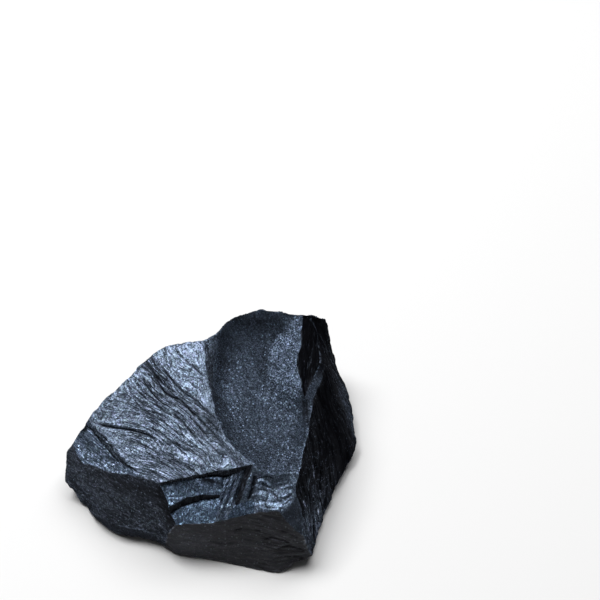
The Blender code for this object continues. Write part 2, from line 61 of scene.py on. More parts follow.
FINER = {"broad_left": 0.66, "lumpy_front": 0.6, "left_cheek": 0.66, "cheek_riser": 0.66, "tread_1": 0.8, "tread_2": 0.8, "tread_3": 0.8, "flutes": 0.7, "spur_side": 0.7, "riser_1": 0.8, "riser_2": 0.8, "foot_left": 1.5, "foot_back": 1.5, "foot_back_left": 1.5, "foot_back_right": 1.5, "back_left_foot": 1.3, "back_middle_foot": 1.3, "back_right_foot": 1.3, "back_left_lower": 1.25, "back_left": 1.1, "back_left_upper": 1.1, "back_gully_left": 1.15, "back_gully_right": 1.15, "back_right": 1.15, "back_right_outer": 1.15, "back_corner": 1.1}  # share of that side for the faces that need a closer or a wider net
RELIEF = 0.35  # height of the broad unevenness on the fracture faces, mm
SEED = 11

# ---- corners seen from the station: (sheet x, sheet y, height in mm) ------------------------------
SIGHTED = {
    # upper arris of the broad left face, from its left tip up to the crest
    "a0": (88, 419.5, 19.5), "a1": (94, 411, 20.3), "a2": (108, 396, 22.0), "a3": (121, 385, 23.4),
    "a4": (133, 373, 24.9), "a5": (149, 358, 26.6), "a6": (166, 346.5, 28.0), "a7": (184, 343, 29.0),
    "a8": (203.5, 341, 29.8),
    # crest behind the scoop, from the left shoulder to the right shoulder
    "b0": (209, 338.4, 30.2), "b1": (219.6, 331.3, 30.7), "b2": (226, 322.5, 31.0),
    "b3": (235.7, 317, 31.2), "b4": (248, 312.5, 31.2), "b5": (260, 310, 31.0),
    "b6": (275, 311, 30.6), "b7": (290, 314, 30.0), "b8": (303, 315, 29.3),
    # arris between the broad left face and the scoop, down to the front tip
    "ab1": (204.5, 352, 29.2), "ab2": (206, 368, 28.1), "ab3": (209, 384, 26.9),
    "ab4": (212.5, 398, 25.9), "ab5": (216, 414, 24.8), "ab6": (221.4, 427, 24.0),
    "ab7": (227, 439.5, 23.2), "ab8": (239, 452.5, 22.6), "tip": (254, 464, 22.0),
    # right side of the narrow ledge along that arris
    "s1": (217, 341, 29.2), "s2": (215.5, 354, 28.0), "s3": (213.8, 368, 26.9), "s4": (213.3, 384, 26.1),
    # right rim of the scoop
    "r1": (302, 325, 29.2), "r2": (300.7, 335, 28.5), "r3": (300.5, 346, 27.9),
    "r4": (297.2, 356, 27.4), "r5": (296.7, 366, 26.8), "r6": (299.7, 377, 26.2),
    "r7": (302, 391, 25.4), "r8": (304.6, 398, 24.9),
    # crack between the scoop and the narrow facet on its right
    "cr1": (305.8, 409, 23.2), "cr2": (305.6, 421, 22.7),
    # arris down the right flank, outside that rim
    "i0": (308.8, 317.4, 27.0), "i1": (313, 322.4, 24.0), "i2": (317, 335.7, 21.0),
    "i3": (318.5, 346.5, 20.5), "i4": (318.5, 366, 21.5), "i5": (312.5, 379, 23.6), "i6": (307.5, 391, 24.6),
    # right shoulder line, above the steep right face
    "j0": (317, 316, 25.5), "j1": (325.4, 320, 21.0), "j2": (324.8, 337, 18.5), "j3": (323.5, 352, 18.5),
    "j4": (323.7, 366, 20.5), "j5": (321, 380, 22.5), "j6": (316, 394, 23.2), "j7": (313, 404, 23.6),
    "j8": (310.4, 416, 23.3), "j9": (308.5, 430, 22.9), "j10": (306, 441, 22.3), "j11": (304, 448, 21.8),
    "j12": (301, 463.5, 20.9), "j13": (298.5, 473.5, 20.4), "j14": (295.8, 484, 19.3), "j15": (296.5, 496, 17.6),
    # foot of the scoop, where it bends down into the lumpy front face
    "f1": (260, 471.5, 20.9), "f2": (268, 474.5, 20.5), "f3": (279, 474.8, 20.2), "f4": (291, 473, 20.3),
    # front arris of the broad left face
    "ae1": (172, 480, 19.6), "ae2": (186, 477.5, 19.9), "ae3": (200, 474, 20.3), "ae4": (212, 472, 20.6),
    "ae5": (224, 470.5, 20.9), "ae6": (235, 467.5, 21.3), "ae7": (246, 465.5, 21.7),
    # foot of the first riser under it
    "el0": (159.5, 485.3, 18.2), "el1": (173, 482.9, 18.3), "el2": (187, 479.8, 18.9),
    "el3": (201, 477.2, 19), "el4": (212.5, 475.6, 19.1), "el5": (224, 476.6, 18.6),
    "el6": (235, 473.5, 19.5), "el7": (245.5, 469, 20.8),
    # outer edge of the upper tread, and foot of the second riser
    "t0": (168.3, 507.5, 15.2), "t1": (176.5, 504, 15.2), "t2": (184, 499.6, 15.6), "t3": (194, 495.9, 16.2),
    "t4": (207, 495, 16.4), "t5": (219.5, 494.8, 16.5), "t6": (223.3, 489, 17.6),
    "w0": (169.8, 514, 12.6), "w1": (178, 508.3, 13.5), "w2": (190, 503.6, 14.1), "w3": (205, 499.4, 14.8),
    "w4": (219.6, 496.8, 15.6),
    # left side of the fluted flank, its valley, and the bright spur to its right
    "n1": (218.5, 505, 14.9), "n2": (216.5, 514, 13.8), "n3": (214.5, 522.7, 12.7),
    "v1": (243.8, 473.5, 19.7), "v2": (240.2, 486.5, 17.7), "v3": (235.2, 500, 15.6), "v4": (230.5, 512, 14.2),
    "k1": (250.8, 472.5, 20.9), "k2": (246.3, 485, 19.5), "k3": (242, 496.5, 17.8), "k4": (239.5, 504, 16.4),
    # back of the small tread in front of the spur
    "e1": (254, 501, 16.6), "e2": (236, 505.5, 15.2),
    # upper arris of the smooth front face
    "g0": (175.9, 525, 11.6), "g1": (186, 524.4, 12.0), "g2": (199, 524, 12.3), "g4": (221.4, 520.8, 12.8),
    "g5": (226.5, 519.5, 13.0), "g6": (231.5, 518.7, 13.2), "g7": (244.6, 516, 13.7), "g8": (253.6, 513.3, 15.2),
    "g9": (266, 511.5, 15.9), "g10": (279.5, 512.3, 16.1), "g11": (282, 515.7, 15.4), "g12": (288, 523, 13.8),
    "g13": (297, 531.8, 12), "g14": (303.2, 535.4, 11),
    # small blue facet at the right front corner
    "h1": (287, 508.6, 16.6), "h2": (301.4, 508.6, 15.4), "h3": (302.3, 519.3, 13.6),
    # front right arris and its raised foot
    "q1": (305, 542.5, 8.3), "q2": (310.4, 553.2, 4.0), "q3": (312.6, 556.8, 2.8), "q4": (303, 560.4, 2),
    "q5": (292.5, 564.5, 1.4), "q6": (314.8, 548, 1.6),
    # left cheek and the top of the dark left face
    "c1": (81.4, 430, 16.2), "c2": (74.9, 438.5, 13.6), "c3": (71.9, 444.4, 12.3), "c4": (66.3, 451.4, 10.8),
    "c5": (76, 452, 12.6), "d1": (80.5, 460.4, 12.2), "d2": (95.7, 466.6, 13.2), "d3": (110, 472, 14.3),
    "d4": (122.5, 473.8, 15.7), "d5": (138.6, 476.4, 17.3), "e0": (158.3, 482.5, 19.3),
    # crease between the left cheek facet and the broad left face
    "x1": (96, 434.5, 17.6), "x2": (104, 445, 16.7), "x3": (112.2, 454.5, 16.4), "x4": (121.6, 462.2, 16.7),
    "x5": (131, 468, 17.1),
    # edge of the broad left face above that crease
    "xa1": (97.4, 431.6, 18.5), "xa2": (106, 438.6, 18), "xa3": (113.4, 446.8, 17.6), "xa4": (122, 457.4, 17.5),
    # right side of the dark left face
    "y1": (164, 493.5, 16.8), "y2": (172.5, 519, 12.3), "y3": (169, 532.5, 8.4), "y4": (165.8, 540.5, 4.0),
    # left outline of the dark face
    "l1": (65.2, 464, 8.3), "l2": (65.3, 479, 5.3), "l3": (70.7, 488, 3.6), "l4": (76, 493.4, 2.2),
    # lower arris of the dark face, above the undercut
    "u1": (98, 517.3, 3.2), "u2": (108, 522, 4.2), "u3": (121.6, 526.4, 4.6), "u4": (129.6, 528.2, 4.6),
    "u5": (146.6, 531.8, 4.2), "u6": (157.5, 538, 2.8),
    # outline on the table, from the left round the front to the right
    "z0": (79.6, 500.5, 1), "z1": (86.8, 506.8, 0.9), "z2": (91.3, 514, 0.8), "z3": (98.4, 520.2, 0.7),
    "z4": (106.4, 527.3, 0.6), "z5": (117, 533.6, 0.6), "z6": (126, 536.3, 0.6), "z7": (136.8, 537, 0.7),
    "z8": (149.3, 539.8, 0.8), "z9": (156.4, 541.6, 0.9), "z10": (166, 546.5, 0.9), "z11": (172.5, 551.6, 0.8),
    "z12": (180, 554.6, 0.6), "z13": (197, 557.5, 0.4), "z14": (212.5, 559.6, 0.4), "z15": (239, 565, 0.4),
    "z16": (257, 568.6, 0.4), "z17": (275, 571.7, 0.5), "z18": (282, 571, 0.8),
    "z19": (317.5, 534.5, 1.2), "z20": (322.9, 520.2, 1.2), "z21": (326.4, 510.4, 1.3), "z22": (332.7, 495.2, 1.5),
    "z23": (337, 485.4, 1.8), "z24": (342.5, 474.6, 2), "z25": (348.8, 462, 2.4), "z26": (354, 453.2, 2.8),
    "z27": (356, 441, 3),
}

# ---- corners round the back and the underside: (x, y, z) in mm ------------------------------------
BEHIND = {
    # lower outline, from the right round the back to the left
    "o1": (36.4, 5.5, 3.0), "o2": (34.8, 13.5, 3.4), "o3": (31.8, 21.0, 3.0), "o4": (25.5, 25.5, 2.4),
    "o5": (15.5, 27.0, 2.0), "o6": (6.0, 23.0, 2.8), "o7": (-4.0, 18.0, 3.2), "o8": (-12.5, 16.6, 2.4),
    "o9": (-19.5, 10.5, 1.8), "o10": (-26.0, 5.0, 2.0), "o11": (-30.8, -2.0, 2.4), "o12": (-33.0, -9.0, 2.6),
    "o13": (-32.6, -14.5, 1.6),
    # broken line half way up the back
    "m1": (-33.5, -9.0, 7.0), "m2": (-29.4, -2.2, 9.0), "m3": (-23.0, 2.6, 14.2), "m4": (-17.0, 11.4, 11.5),
    "m5": (-6.0, 12.4, 16.0), "m6": (3.0, 20.2, 17.4), "m7": (12.5, 26.0, 13.0), "m8": (23.0, 27.0, 16.5),
    "m9": (31.8, 20.5, 9.5),
    # a gully and a buttress above it
    "n11": (-2.4, 9.0, 22.8), "n12": (13.0, 21.6, 23.4),
    # rim of the flat underside, from the left round the front to the right and back
    "p0": (-27.5, -18.5, 0), "p1": (-25.0, -22.0, 0), "p2": (-20.5, -25.5, 0), "p3": (-14.0, -27.5, 0),
    "p4": (-7.5, -31.0, 0), "p5": (-1.0, -34.5, 0), "p6": (8.0, -37.3, 0), "p7": (16.5, -38.8, 0),
    "p8": (20.5, -36.5, 0), "p9": (23.5, -31.0, 0), "p10": (26.5, -22.0, 0), "p11": (30.0, -12.0, 0),
    "p12": (31.5, -3.0, 0), "p13": (30.0, 6.5, 0), "p14": (26.5, 15.5, 0), "p15": (17.0, 20.0, 0),
    "p16": (6.0, 18.5, 0), "p17": (-4.5, 14.5, 0), "p18": (-14.0, 9.0, 0), "p19": (-22.5, 1.5, 0),
    "p20": (-28.0, -8.0, 0), "p21": (-28.5, -14.0, 0),
}

# ---- fracture faces: loops of corners ------------------------------------------------------------
FACES = {
    "broad_left": "a0 a1 a2 a3 a4 a5 a6 a7 a8 ab1 ab2 ab3 ab4 ab5 ab6 ab7 ab8 tip ae7 ae6 ae5 ae4 ae3 ae2 ae1 e0 d5 x5 xa4 xa3 xa2 xa1",
    "ledge": "a8 b0 b1 s1 s2 s3 s4 ab4 ab3 ab2 ab1",
    "scoop": "b1 b2 b3 b4 b5 b6 b7 b8 r1 r2 r3 r4 r5 r6 r7 r8 cr1 cr2 j9 j10 j11 j12 j13 f4 f3 f2 f1 tip ab8 ab7 ab6 ab5 ab4 s4 s3 s2 s1",
    "rim_facet": "i4 j4 j5 j6 j7 j8 j9 cr2 cr1 r8 i6 i5",
    "right_notch": "b8 i0 i1 i2 i3 i4 i5 i6 r8 r7 r6 r5 r4 r3 r2 r1",
    "right_shoulder": "b8 j0 j1 j2 j3 j4 i4 i3 i2 i1 i0",
    "cheek_riser": "a0 xa1 xa2 xa3 xa4 x5 x4 x3 x2 x1",
    "left_cheek": "a0 x1 x2 x3 x4 x5 d5 d4 d3 d2 d1 c5 c3 c2 c1",
    "dark_left": "c4 c3 c5 d1 d2 d3 d4 d5 e0 el0 y1 t0 w0 y2 g0 y3 y4 z10 u6 u5 u4 u3 u2 u1 z2 z1 z0 l4 l3 l2 l1",
    "undercut": "z2 u1 u2 u3 u4 u5 u6 z10 z9 z8 z7 z6 z5 z4 z3",
    "riser_1": "e0 ae1 ae2 ae3 ae4 ae5 ae6 ae7 el7 el6 el5 el4 el3 el2 el1 el0",
    "tread_1": "el0 el1 el2 el3 el4 el5 t6 t5 t4 t3 t2 t1 t0 y1",
    "riser_2": "t0 t1 t2 t3 t4 t5 w4 w3 w2 w1 w0",
    "tread_2": "w0 w1 w2 w3 w4 n1 n2 n3 g2 g1 g0 y2",
    "flutes": "el5 el6 el7 v1 v2 v3 e2 v4 g5 g4 n3 n2 n1 w4 t5 t6",
    "spur_side": "ae7 tip k1 k2 k3 k4 e2 v3 v2 v1 el7",
    "tread_3": "v4 e2 k4 e1 g8 g7 g6 g5",
    "lumpy_front": "tip f1 f2 f3 f4 j13 j14 j15 h1 g11 g10 g9 g8 e1 k4 k3 k2 k1",
    "corner_facet": "j15 h2 h3 g14 g13 g12 g11 h1",
    "smooth_front": "g0 g1 g2 n3 g4 g5 g6 g7 g8 g9 g10 g11 g12 g13 g14 q1 q2 q3 q4 q5 z18 z17 z16 z15 z14 z13 z12 z11 z10 y4 y3",
    "right_face": "j1 j2 j3 j4 j5 j6 j7 j8 j9 j10 j11 j12 j13 j14 j15 h2 h3 g14 q1 q2 q3 q6 z19 z20 z21 z22 z23 z24 z25 z26 z27 o1 o2 o3 m9",
    "front_chip": "z18 q5 q4 q3 q6 z19",
    "back_left": "a0 a1 a2 m3 m2 m1 c4 c3 c2 c1",
    "back_left_upper": "a2 a3 a4 a5 a6 m4 m3",
    "back_left_foot": "m1 m2 m3 o10 o11 o12",
    "back_left_lower": "m3 m4 m5 o7 o8 o9 o10",
    "left_foot": "c4 l1 l2 l3 l4 z0 o13 o12 m1",
    "back_gully_left": "a6 a7 a8 b0 n11 m5 m4",
    "back_gully_right": "b0 b1 b2 b3 m6 m5 n11",
    "back_middle_foot": "m5 m6 m7 o5 o6 o7",
    "back_right": "b3 b4 b5 n12 m7 m6",
    "back_right_outer": "b5 b6 m8 m7 n12",
    "back_corner": "b6 b7 b8 j0 j1 m9 m8",
    "back_right_foot": "m7 m8 m9 o3 o4 o5",
    "foot_left": "z0 z1 z2 z3 z4 z5 z6 p3 p2 p1 p0",
    "foot_gap": "z6 z7 z8 z9 z10 z11 z12 p5 p4 p3",
    "foot_front": "z12 z13 z14 z15 z16 z17 z18 p7 p6 p5",
    "foot_corner": "z18 z19 z20 z21 z22 p10 p9 p8 p7",
    "foot_right": "z22 z23 z24 z25 z26 z27 o1 p13 p12 p11 p10",
    "foot_back_right": "o1 o2 o3 o4 o5 p15 p14 p13",
    "foot_back": "o5 o6 o7 o8 o9 p18 p17 p16 p15",
    "foot_back_left": "o9 o10 o11 o12 o13 z0 p0 p21 p20 p19 p18",
    "underside": "p0 p1 p2 p3 p4 p5 p6 p7 p8 p9 p10 p11 p12 p13 p14 p15 p16 p17 p18 p19 p20 p21",
}

# ---- heights inside a face that isn't flat, sighted as above ----------------------------------------
INNER = {
    "scoop": [
        (238, 331, 28.3), (262, 330, 27.4), (282, 334, 26.9),
        (225, 350, 26.8), (245, 350, 25.6), (265, 352, 24.7), (284, 350, 26.3),
        (222, 370, 25.0), (242, 370, 24.0), (266, 371, 23.0), (282, 370, 24.8),
        (222, 390, 24.1), (242, 390, 22.9), (264, 392, 22.0), (286, 390, 23.8),
        (226, 410, 23.0), (246, 410, 21.9), (270, 410, 21.1), (292, 410, 21.9),
        (235, 430, 22.1), (256, 430, 21.0), (276, 430, 20.5), (294, 430, 20.6),
        (250, 449, 21.3), (270, 450, 20.5), (288, 449, 20.2), (270, 463, 20.4), (286, 463, 20.0),
    ],
    "lumpy_front": [
        (262, 483, 18.6), (275, 484, 18.3), (287, 485, 18.2), (258, 492, 17.6), (270, 494, 17.4),
        (283, 495, 17.4), (264, 503, 16.6), (276, 504, 16.6),
    ],
}

# the same for the faces round the back, in mm
INNER_BEHIND = {
    "back_left": [(-29.3, -6.6, 13.0), (-26.6, -3.4, 15.0)],
    "back_left_upper": [(-17.6, 4.6, 18.4), (-14.6, 6.8, 19.4)],
    "back_right": [(6.6, 17.2, 23.4), (8.6, 20.0, 19.6), (10.4, 17.6, 25.6)],
    "back_right_outer": [(18.2, 20.6, 23.2), (18.8, 24.0, 18.4)],
    "back_corner": [(24.6, 20.4, 21.6), (26.6, 22.0, 16.2)],
    "back_middle_foot": [(4.2, 20.6, 10.4), (9.4, 22.6, 8.6)],
}


# ---- setting out -----------------------------------------------------------------------------------
RIGHT = np.array((1.0, 0.0, 0.0))
UP = np.array((0.0, math.sin(STATION_TILT), math.cos(STATION_TILT)))
AHEAD = np.array((0.0, math.cos(STATION_TILT), -math.sin(STATION_TILT)))


def ray(x, y):
    """Direction from the station through a point of the sheet."""
    return (
        (x - SHEET_CENTRE[0]) / SHEET_REACH * RIGHT
        + (SHEET_CENTRE[1] - y) / SHEET_REACH * UP
        + AHEAD
    )


STATION = -STATION_DISTANCE * ray(*SHEET_REFERENCE)


def sight(x, y, height):
    """The point at this height, in mm, that is seen through a point of the sheet."""
    direction = ray(x, y)
    return STATION + (height - STATION[2]) / direction[2] * direction


def corner_places():
    places = {name: sight(*entry) for name, entry in SIGHTED.items()}
    places.update({name: np.array(entry, dtype=float) for name, entry in BEHIND.items()})
    return places


# ---- smooth random relief --------------------------------------------------------------------------
def lattice_value(i, j, k, seed):
    """A fixed pseudo-random value between -1 and 1 for each whole-number cell corner."""
    n = (i * 374761393 + j * 668265263 + k * 1274126177 + seed * 974711) & 0xFFFFFFFF
    n = ((n ^ (n >> 13)) * 1103515245) & 0xFFFFFFFF
    n = ((n ^ (n >> 16)) * 2246822519) & 0xFFFFFFFF
    n = n ^ (n >> 15)
    return (n & 0xFFFFFF) / float(0x7FFFFF) - 1.0


def smooth_noise(points, scale, seed):
    """Value noise with a quintic fade, one octave, for an array of points."""
    p = np.asarray(points) / scale
    cell = np.floor(p).astype(np.int64)
    f = p - cell
    f = f * f * f * (f * (f * 6 - 15) + 10)
    total = np.zeros(len(p))
    for di in (0, 1):
        wx = f[:, 0] if di else 1 - f[:, 0]
        for dj in (0, 1):
            wy = f[:, 1] if dj else 1 - f[:, 1]
            for dk in (0, 1):
                wz = f[:, 2] if dk else 1 - f[:, 2]
                value = lattice_value(cell[:, 0] + di, cell[:, 1] + dj, cell[:, 2] + dk, seed)
                total += wx * wy * wz * value
    return total


# ---- arrises ---------------------------------------------------------------------------------------
def face_loops():
    return {name: loop.split() for name, loop in FACES.items()}


def arris_chains(loops):
    """Split the edges of the faces into runs that part the same two faces."""
    faces_of = {}
    for name, loop in loops.items():
        for a, b in zip(loop, loop[1:] + loop[:1]):
            faces_of.setdefault(frozenset((a, b)), []).append(name)
    for edge, names in faces_of.items():
        if len(names) != 2:
            raise ValueError(f"edge {sorted(edge)} has faces {names}")
    meets = {}
    for edge, names in faces_of.items():
        for corner in edge:
            meets.setdefault(corner, []).append((edge, frozenset(names)))
    ends = {corner for corner, runs in meets.items() if len(runs) != 2}
    chains, used = [], set()
    for start in sorted(ends):
        for edge, _ in meets[start]:
            if edge in used:
                continue
            chain, here, run = [start], start, edge
            while True:
                used.add(run)
                here = next(c for c in run if c != here)
                chain.append(here)
                if here in ends:
                    break
                run = next(e for e, _ in meets[here] if e != run)
            chains.append(chain)
    return chains


def curve_through(points, step):
    """Points along a smooth curve through the given ones, kept as rows, with the count of each span."""
    rows, counts = [], []
    for k in range(len(points) - 1):
        a, b = points[k], points[k + 1]
        before = points[k - 1] if k else a + (a - b) * 0.6
        after = points[k + 2] if k + 2 < len(points) else b + (b - a) * 0.6
        length = np.linalg.norm(b - a)
        n = max(1, int(math.ceil(length / step)))
        la = max(np.linalg.norm(a - before), 0.5 * length)
        lb = max(np.linalg.norm(after - b), 0.5 * length)
        ta = 0.5 * ((b - a) / length + (a - before) / la) * length * 0.9
        tb = 0.5 * ((after - b) / lb + (b - a) / length) * length * 0.9
        for i in range(n):
            t = i / n
            rows.append(
                (2 * t**3 - 3 * t**2 + 1) * a
                + (t**3 - 2 * t**2 + t) * ta
                + (-2 * t**3 + 3 * t**2) * b
                + (t**3 - t**2) * tb
            )
        counts.append(n)
    rows.append(points[-1])
    return rows, counts


# ---- faces -----------------------------------------------------------------------------------------
def face_axes(rim):
    """Middle of a closed rim, and its two in-plane axes and normal as rows."""
    middle = rim.mean(axis=0)
    following = np.roll(rim, -1, axis=0)
    normal = np.cross(rim - middle, following - middle).sum(axis=0)
    normal /= np.linalg.norm(normal)
    side = RIGHT - normal * normal[0]
    if np.linalg.norm(side) < 0.3:
        side = UP - normal * normal.dot(UP)
    side /= np.linalg.norm(side)
    return middle, np.array((side, np.cross(normal, side), normal))


def thin_plate(known, heights, wanted):
    """Bend a thin plate through the known heights and read it at the wanted places."""
    middle, spread = known.mean(axis=0), max(known.std(), 1e-6)
    a, b = (known - middle) / spread, (wanted - middle) / spread

    def kernel(p, q):
        squared = ((p[:, None, :] - q[None, :, :]) ** 2).sum(axis=2)
        return 0.5 * squared * np.log(squared + 1e-12)

    n = len(a)
    system = np.zeros((n + 3, n + 3))
    system[:n, :n] = kernel(a, a) + np.eye(n) * 1e-4
    system[:n, n] = system[n, :n] = 1.0
    system[:n, n + 1 :] = a
    system[n + 1 :, :n] = a.T
    weights = np.linalg.solve(system, np.concatenate((heights, np.zeros(3))))
    out = np.empty(len(b))
    for i in range(0, len(b), 4096):
        part = b[i : i + 4096]
        out[i : i + 4096] = kernel(part, a) @ weights[:n] + weights[n] + part @ weights[n + 1 :]
    return out


def inside_net(flat, net):
    """Points of a staggered lattice, clear of the rim; the rim's own outside is cut off later."""
    low, high = flat.min(axis=0), flat.max(axis=0)
    rise = net * math.sqrt(3) / 2
    rows = np.arange(low[1] + 0.5 * rise, high[1], rise)
    columns = np.arange(low[0], high[0] + net, net)
    grid = np.array([(x + (0.5 * net if r % 2 else 0.0), y) for r, y in enumerate(rows) for x in columns])
    if not len(grid):
        return np.empty((0, 2))
    start, end = flat, np.roll(flat, -1, axis=0)
    run = end - start
    squared = (run**2).sum(axis=1) + 1e-12
    keep = np.ones(len(grid), dtype=bool)
    for i in range(0, len(grid), 2048):
        part = grid[i : i + 2048, None, :] - start[None, :, :]
        along = np.clip((part * run).sum(axis=2) / squared, 0, 1)
        gap = np.sqrt(((part - along[:, :, None] * run) ** 2).sum(axis=2)).min(axis=1)
        crossings = (
            ((start[None, :, 1] > grid[i : i + 2048, None, 1]) != (end[None, :, 1] > grid[i : i + 2048, None, 1]))
            & (
                grid[i : i + 2048, None, 0]
                < start[None, :, 0]
                + (grid[i : i + 2048, None, 1] - start[None, :, 1])
                / np.where(np.abs(run[None, :, 1]) < 1e-12, 1e-12, run[None, :, 1])
                * run[None, :, 0]
            )
        ).sum(axis=1)
        keep[i : i + 2048] = (gap > 0.5 * net) & (crossings % 2 == 1)
    return grid[keep]


def fill_face(name, rim, net):
    """Net of one face: its inner points, and triangles that number the rim first."""
    middle, axes = face_axes(rim)
    local = (rim - middle) @ axes.T
    inner = np.empty((0, 2)) if name == "underside" else inside_net(local[:, :2], net)
    flat = [Vector(p) for p in local[:, :2]] + [Vector(p) for p in inner]
    count = len(rim)
    _, _, triangles, came_from, _, _ = delaunay_2d_cdt(
        flat, [(i, (i + 1) % count) for i in range(count)], [list(range(count))], 1, 1e-7
    )
    origins = [source[0] for source in came_from]
    triangles = [[origins[i] for i in triangle] for triangle in triangles]
    if not len(inner):
        return np.empty((0, 3)), triangles
    gap = max(1, int(round(1.6 / (np.linalg.norm(rim - np.roll(rim, 1, axis=0), axis=1).mean()))))
    known = local[::gap]
    inside = [sight(*entry) for entry in INNER.get(name, ())]
    inside += [np.array(entry, dtype=float) for entry in INNER_BEHIND.get(name, ())]
    if inside:
        known = np.concatenate((known, (np.array(inside) - middle) @ axes.T))
    heights = thin_plate(known[:, :2], known[:, 2], inner)
    return middle + np.column_stack((inner, heights)) @ axes, triangles


def assemble(net):
    """Places in mm, triangles, and the face that each triangle belongs to."""
    loops, places = face_loops(), corner_places()
    rows, index = [], {}
    for name in sorted({corner for loop in loops.values() for corner in loop}):
        index[name] = len(rows)
        rows.append(places[name])
    between = {}
    for chain in arris_chains(loops):
        points, counts = curve_through([places[name] for name in chain], net)
        at = 0
        for (a, b), n in zip(zip(chain, chain[1:]), counts):
            numbers = []
            for i in range(1, n):
                numbers.append(len(rows))
                rows.append(points[at + i])
            at += n
            between[(a, b)] = numbers
            between[(b, a)] = numbers[::-1]
    triangles, owner = [], []
    for number, (name, loop) in enumerate(loops.items()):
        rim = []
        for a, b in zip(loop, loop[1:] + loop[:1]):
            rim.append(index[a])
            rim.extend(between[(a, b)])
        inner, net_triangles = fill_face(name, np.array([rows[i] for i in rim]), net * FINER.get(name, 1.0))
        first = len(rows)
        rows.extend(inner)
        numbers = rim + list(range(first, first + len(inner)))
        triangles.extend([[numbers[i] for i in triangle] for triangle in net_triangles])
        owner.extend([number] * len(net_triangles))
    return np.array(rows), triangles, owner


def add_relief(mesh_points, normals):
    """Broad unevenness of a natural break, faded out near the table so that the foot stays flat."""
    fade = np.clip(mesh_points[:, 2] / 3.0, 0.0, 1.0)
    height = 0.7 * smooth_noise(mesh_points, 9.0, SEED) + 0.3 * smooth_noise(mesh_points, 4.0, SEED + 1)
    return mesh_points + normals * (RELIEF * fade * height)[:, None]


# ---- tools for the fine surface ----------------------------------------------------------------------
def sheet_of(points):
    """Where each point is seen on the survey sheet."""
    away = points - STATION
    depth = away @ AHEAD
    return np.column_stack(
        (
            SHEET_CENTRE[0] + SHEET_REACH * away[:, 0] / depth,
            SHEET_CENTRE[1] - SHEET_REACH * (away @ UP) / depth,
        )
    )


def along_line(xy, line):
    """Signed gap to a broken line on the sheet, positive on the right of its run as it is drawn, and
    the share of its length passed."""
    line = np.array(line, dtype=float)
    run = line[1:] - line[:-1]
    length = np.linalg.norm(run, axis=1)
    before = np.concatenate(((0.0,), np.cumsum(length)))
    best = np.full(len(xy), 1e9)
    side = np.zeros(len(xy))
    share = np.zeros(len(xy))
    for k in range(len(run)):
        offset = xy - line[k]
        t = np.clip(offset @ run[k] / length[k] ** 2, 0, 1)
        gap = np.linalg.norm(offset - t[:, None] * run[k], axis=1)
        closer = gap < best - 1e-9
        cross = run[k][0] * offset[:, 1] - run[k][1] * offset[:, 0]
        best = np.where(closer, gap, best)
        side = np.where(closer, np.sign(cross), side)
        share = np.where(closer, (before[k] + t * length[k]) / before[-1], share)
    return best * side, share


def swell(share, start=0.12, end=0.12):
    """Rises from nothing at one end of a line and dies away at the other."""
    return np.clip(share / start, 0, 1) * np.clip((1 - share) / end, 0, 1)


def groove(xy, line, depth, width):
    gap, share = along_line(xy, line)
    return -depth * np.exp(-((gap / width) ** 2)) * swell(share)


def scarp(xy, line, height, width, reach):
    """A little cliff: the right-hand side stands higher by the height, and both sides ease back."""
    gap, share = along_line(xy, line)
    return 0.5 * height * np.tanh(gap / width) * np.exp(-((gap / reach) ** 2)) * swell(share)


def ribbed(across, along, seed, keen=1.0):
    """Long ribs: noise stretched along one direction, with creased valleys when keen is 1."""
    n = smooth_noise(np.column_stack((across, along, np.zeros(len(across)))), 1.0, seed)
    return (1 - keen) * n + keen * (2 * np.abs(n) - 0.6)


def stream(xy, guides):
    """Distance across a family of guide lines, mm, smooth between them and even along each of them."""
    known, values = [], []
    for number, line in guides:
        line = np.array(line, dtype=float)
        for a, b in zip(line[:-1], line[1:]):
            known += [a, 0.5 * (a + b)]
            values += [number, number]
        known.append(line[-1])
        values.append(number)
    return thin_plate(np.array(known), np.array(values, dtype=float), xy)


# ---- the stone's fine surface ------------------------------------------------------------------------
# Ribs of the broad left face: guide lines, from its right arris down to its left tip, each with its
# distance from the first one in mm.
BROAD_GUIDES = [
    (0, [(203, 350), (205, 366.6), (208, 380), (210.5, 394), (213, 409), (217, 419), (224, 432), (233, 445.5), (241, 452)]),
    (3.8, [(176, 349), (181, 358), (189.5, 365.5), (198, 372), (205, 377)]),
    (9, [(154, 354), (160, 366.5), (169.5, 377), (178, 387.5), (185, 394), (193.5, 399), (204, 409), (210.5, 415), (220, 425.5), (229.5, 439)]),
    (11.9, [(140, 364.5), (148.5, 372), (158, 383.5), (167, 394), (179, 402), (191.5, 411), (204, 422), (216, 435), (227, 448.5), (236, 456)]),
    (16, [(122, 385.5), (132.5, 394), (145, 402), (160, 409), (172.5, 416), (185, 426.5), (198, 439), (209.5, 451), (220, 461)]),
    (17.8, [(109.5, 398), (124, 400), (139, 407.5), (154, 413), (167, 422), (181, 435), (193.5, 444.5), (206, 454), (213.5, 464.5)]),
    (21.5, [(98, 411), (114.5, 415), (132.5, 422), (148.5, 427.5), (162, 436), (174.5, 442), (188.5, 452), (201, 461), (206, 468.5)]),
    (23, [(96, 422), (106.5, 425.5), (122, 428.5), (134.5, 429.5), (145, 433), (156, 438), (164, 448.5), (174.5, 456), (185, 463.5), (198, 473)]),
    (29, [(93.5, 429.5), (110.5, 441), (124, 449.5), (139, 457), (153.5, 461), (169.5, 468.5), (180, 476)]),
]

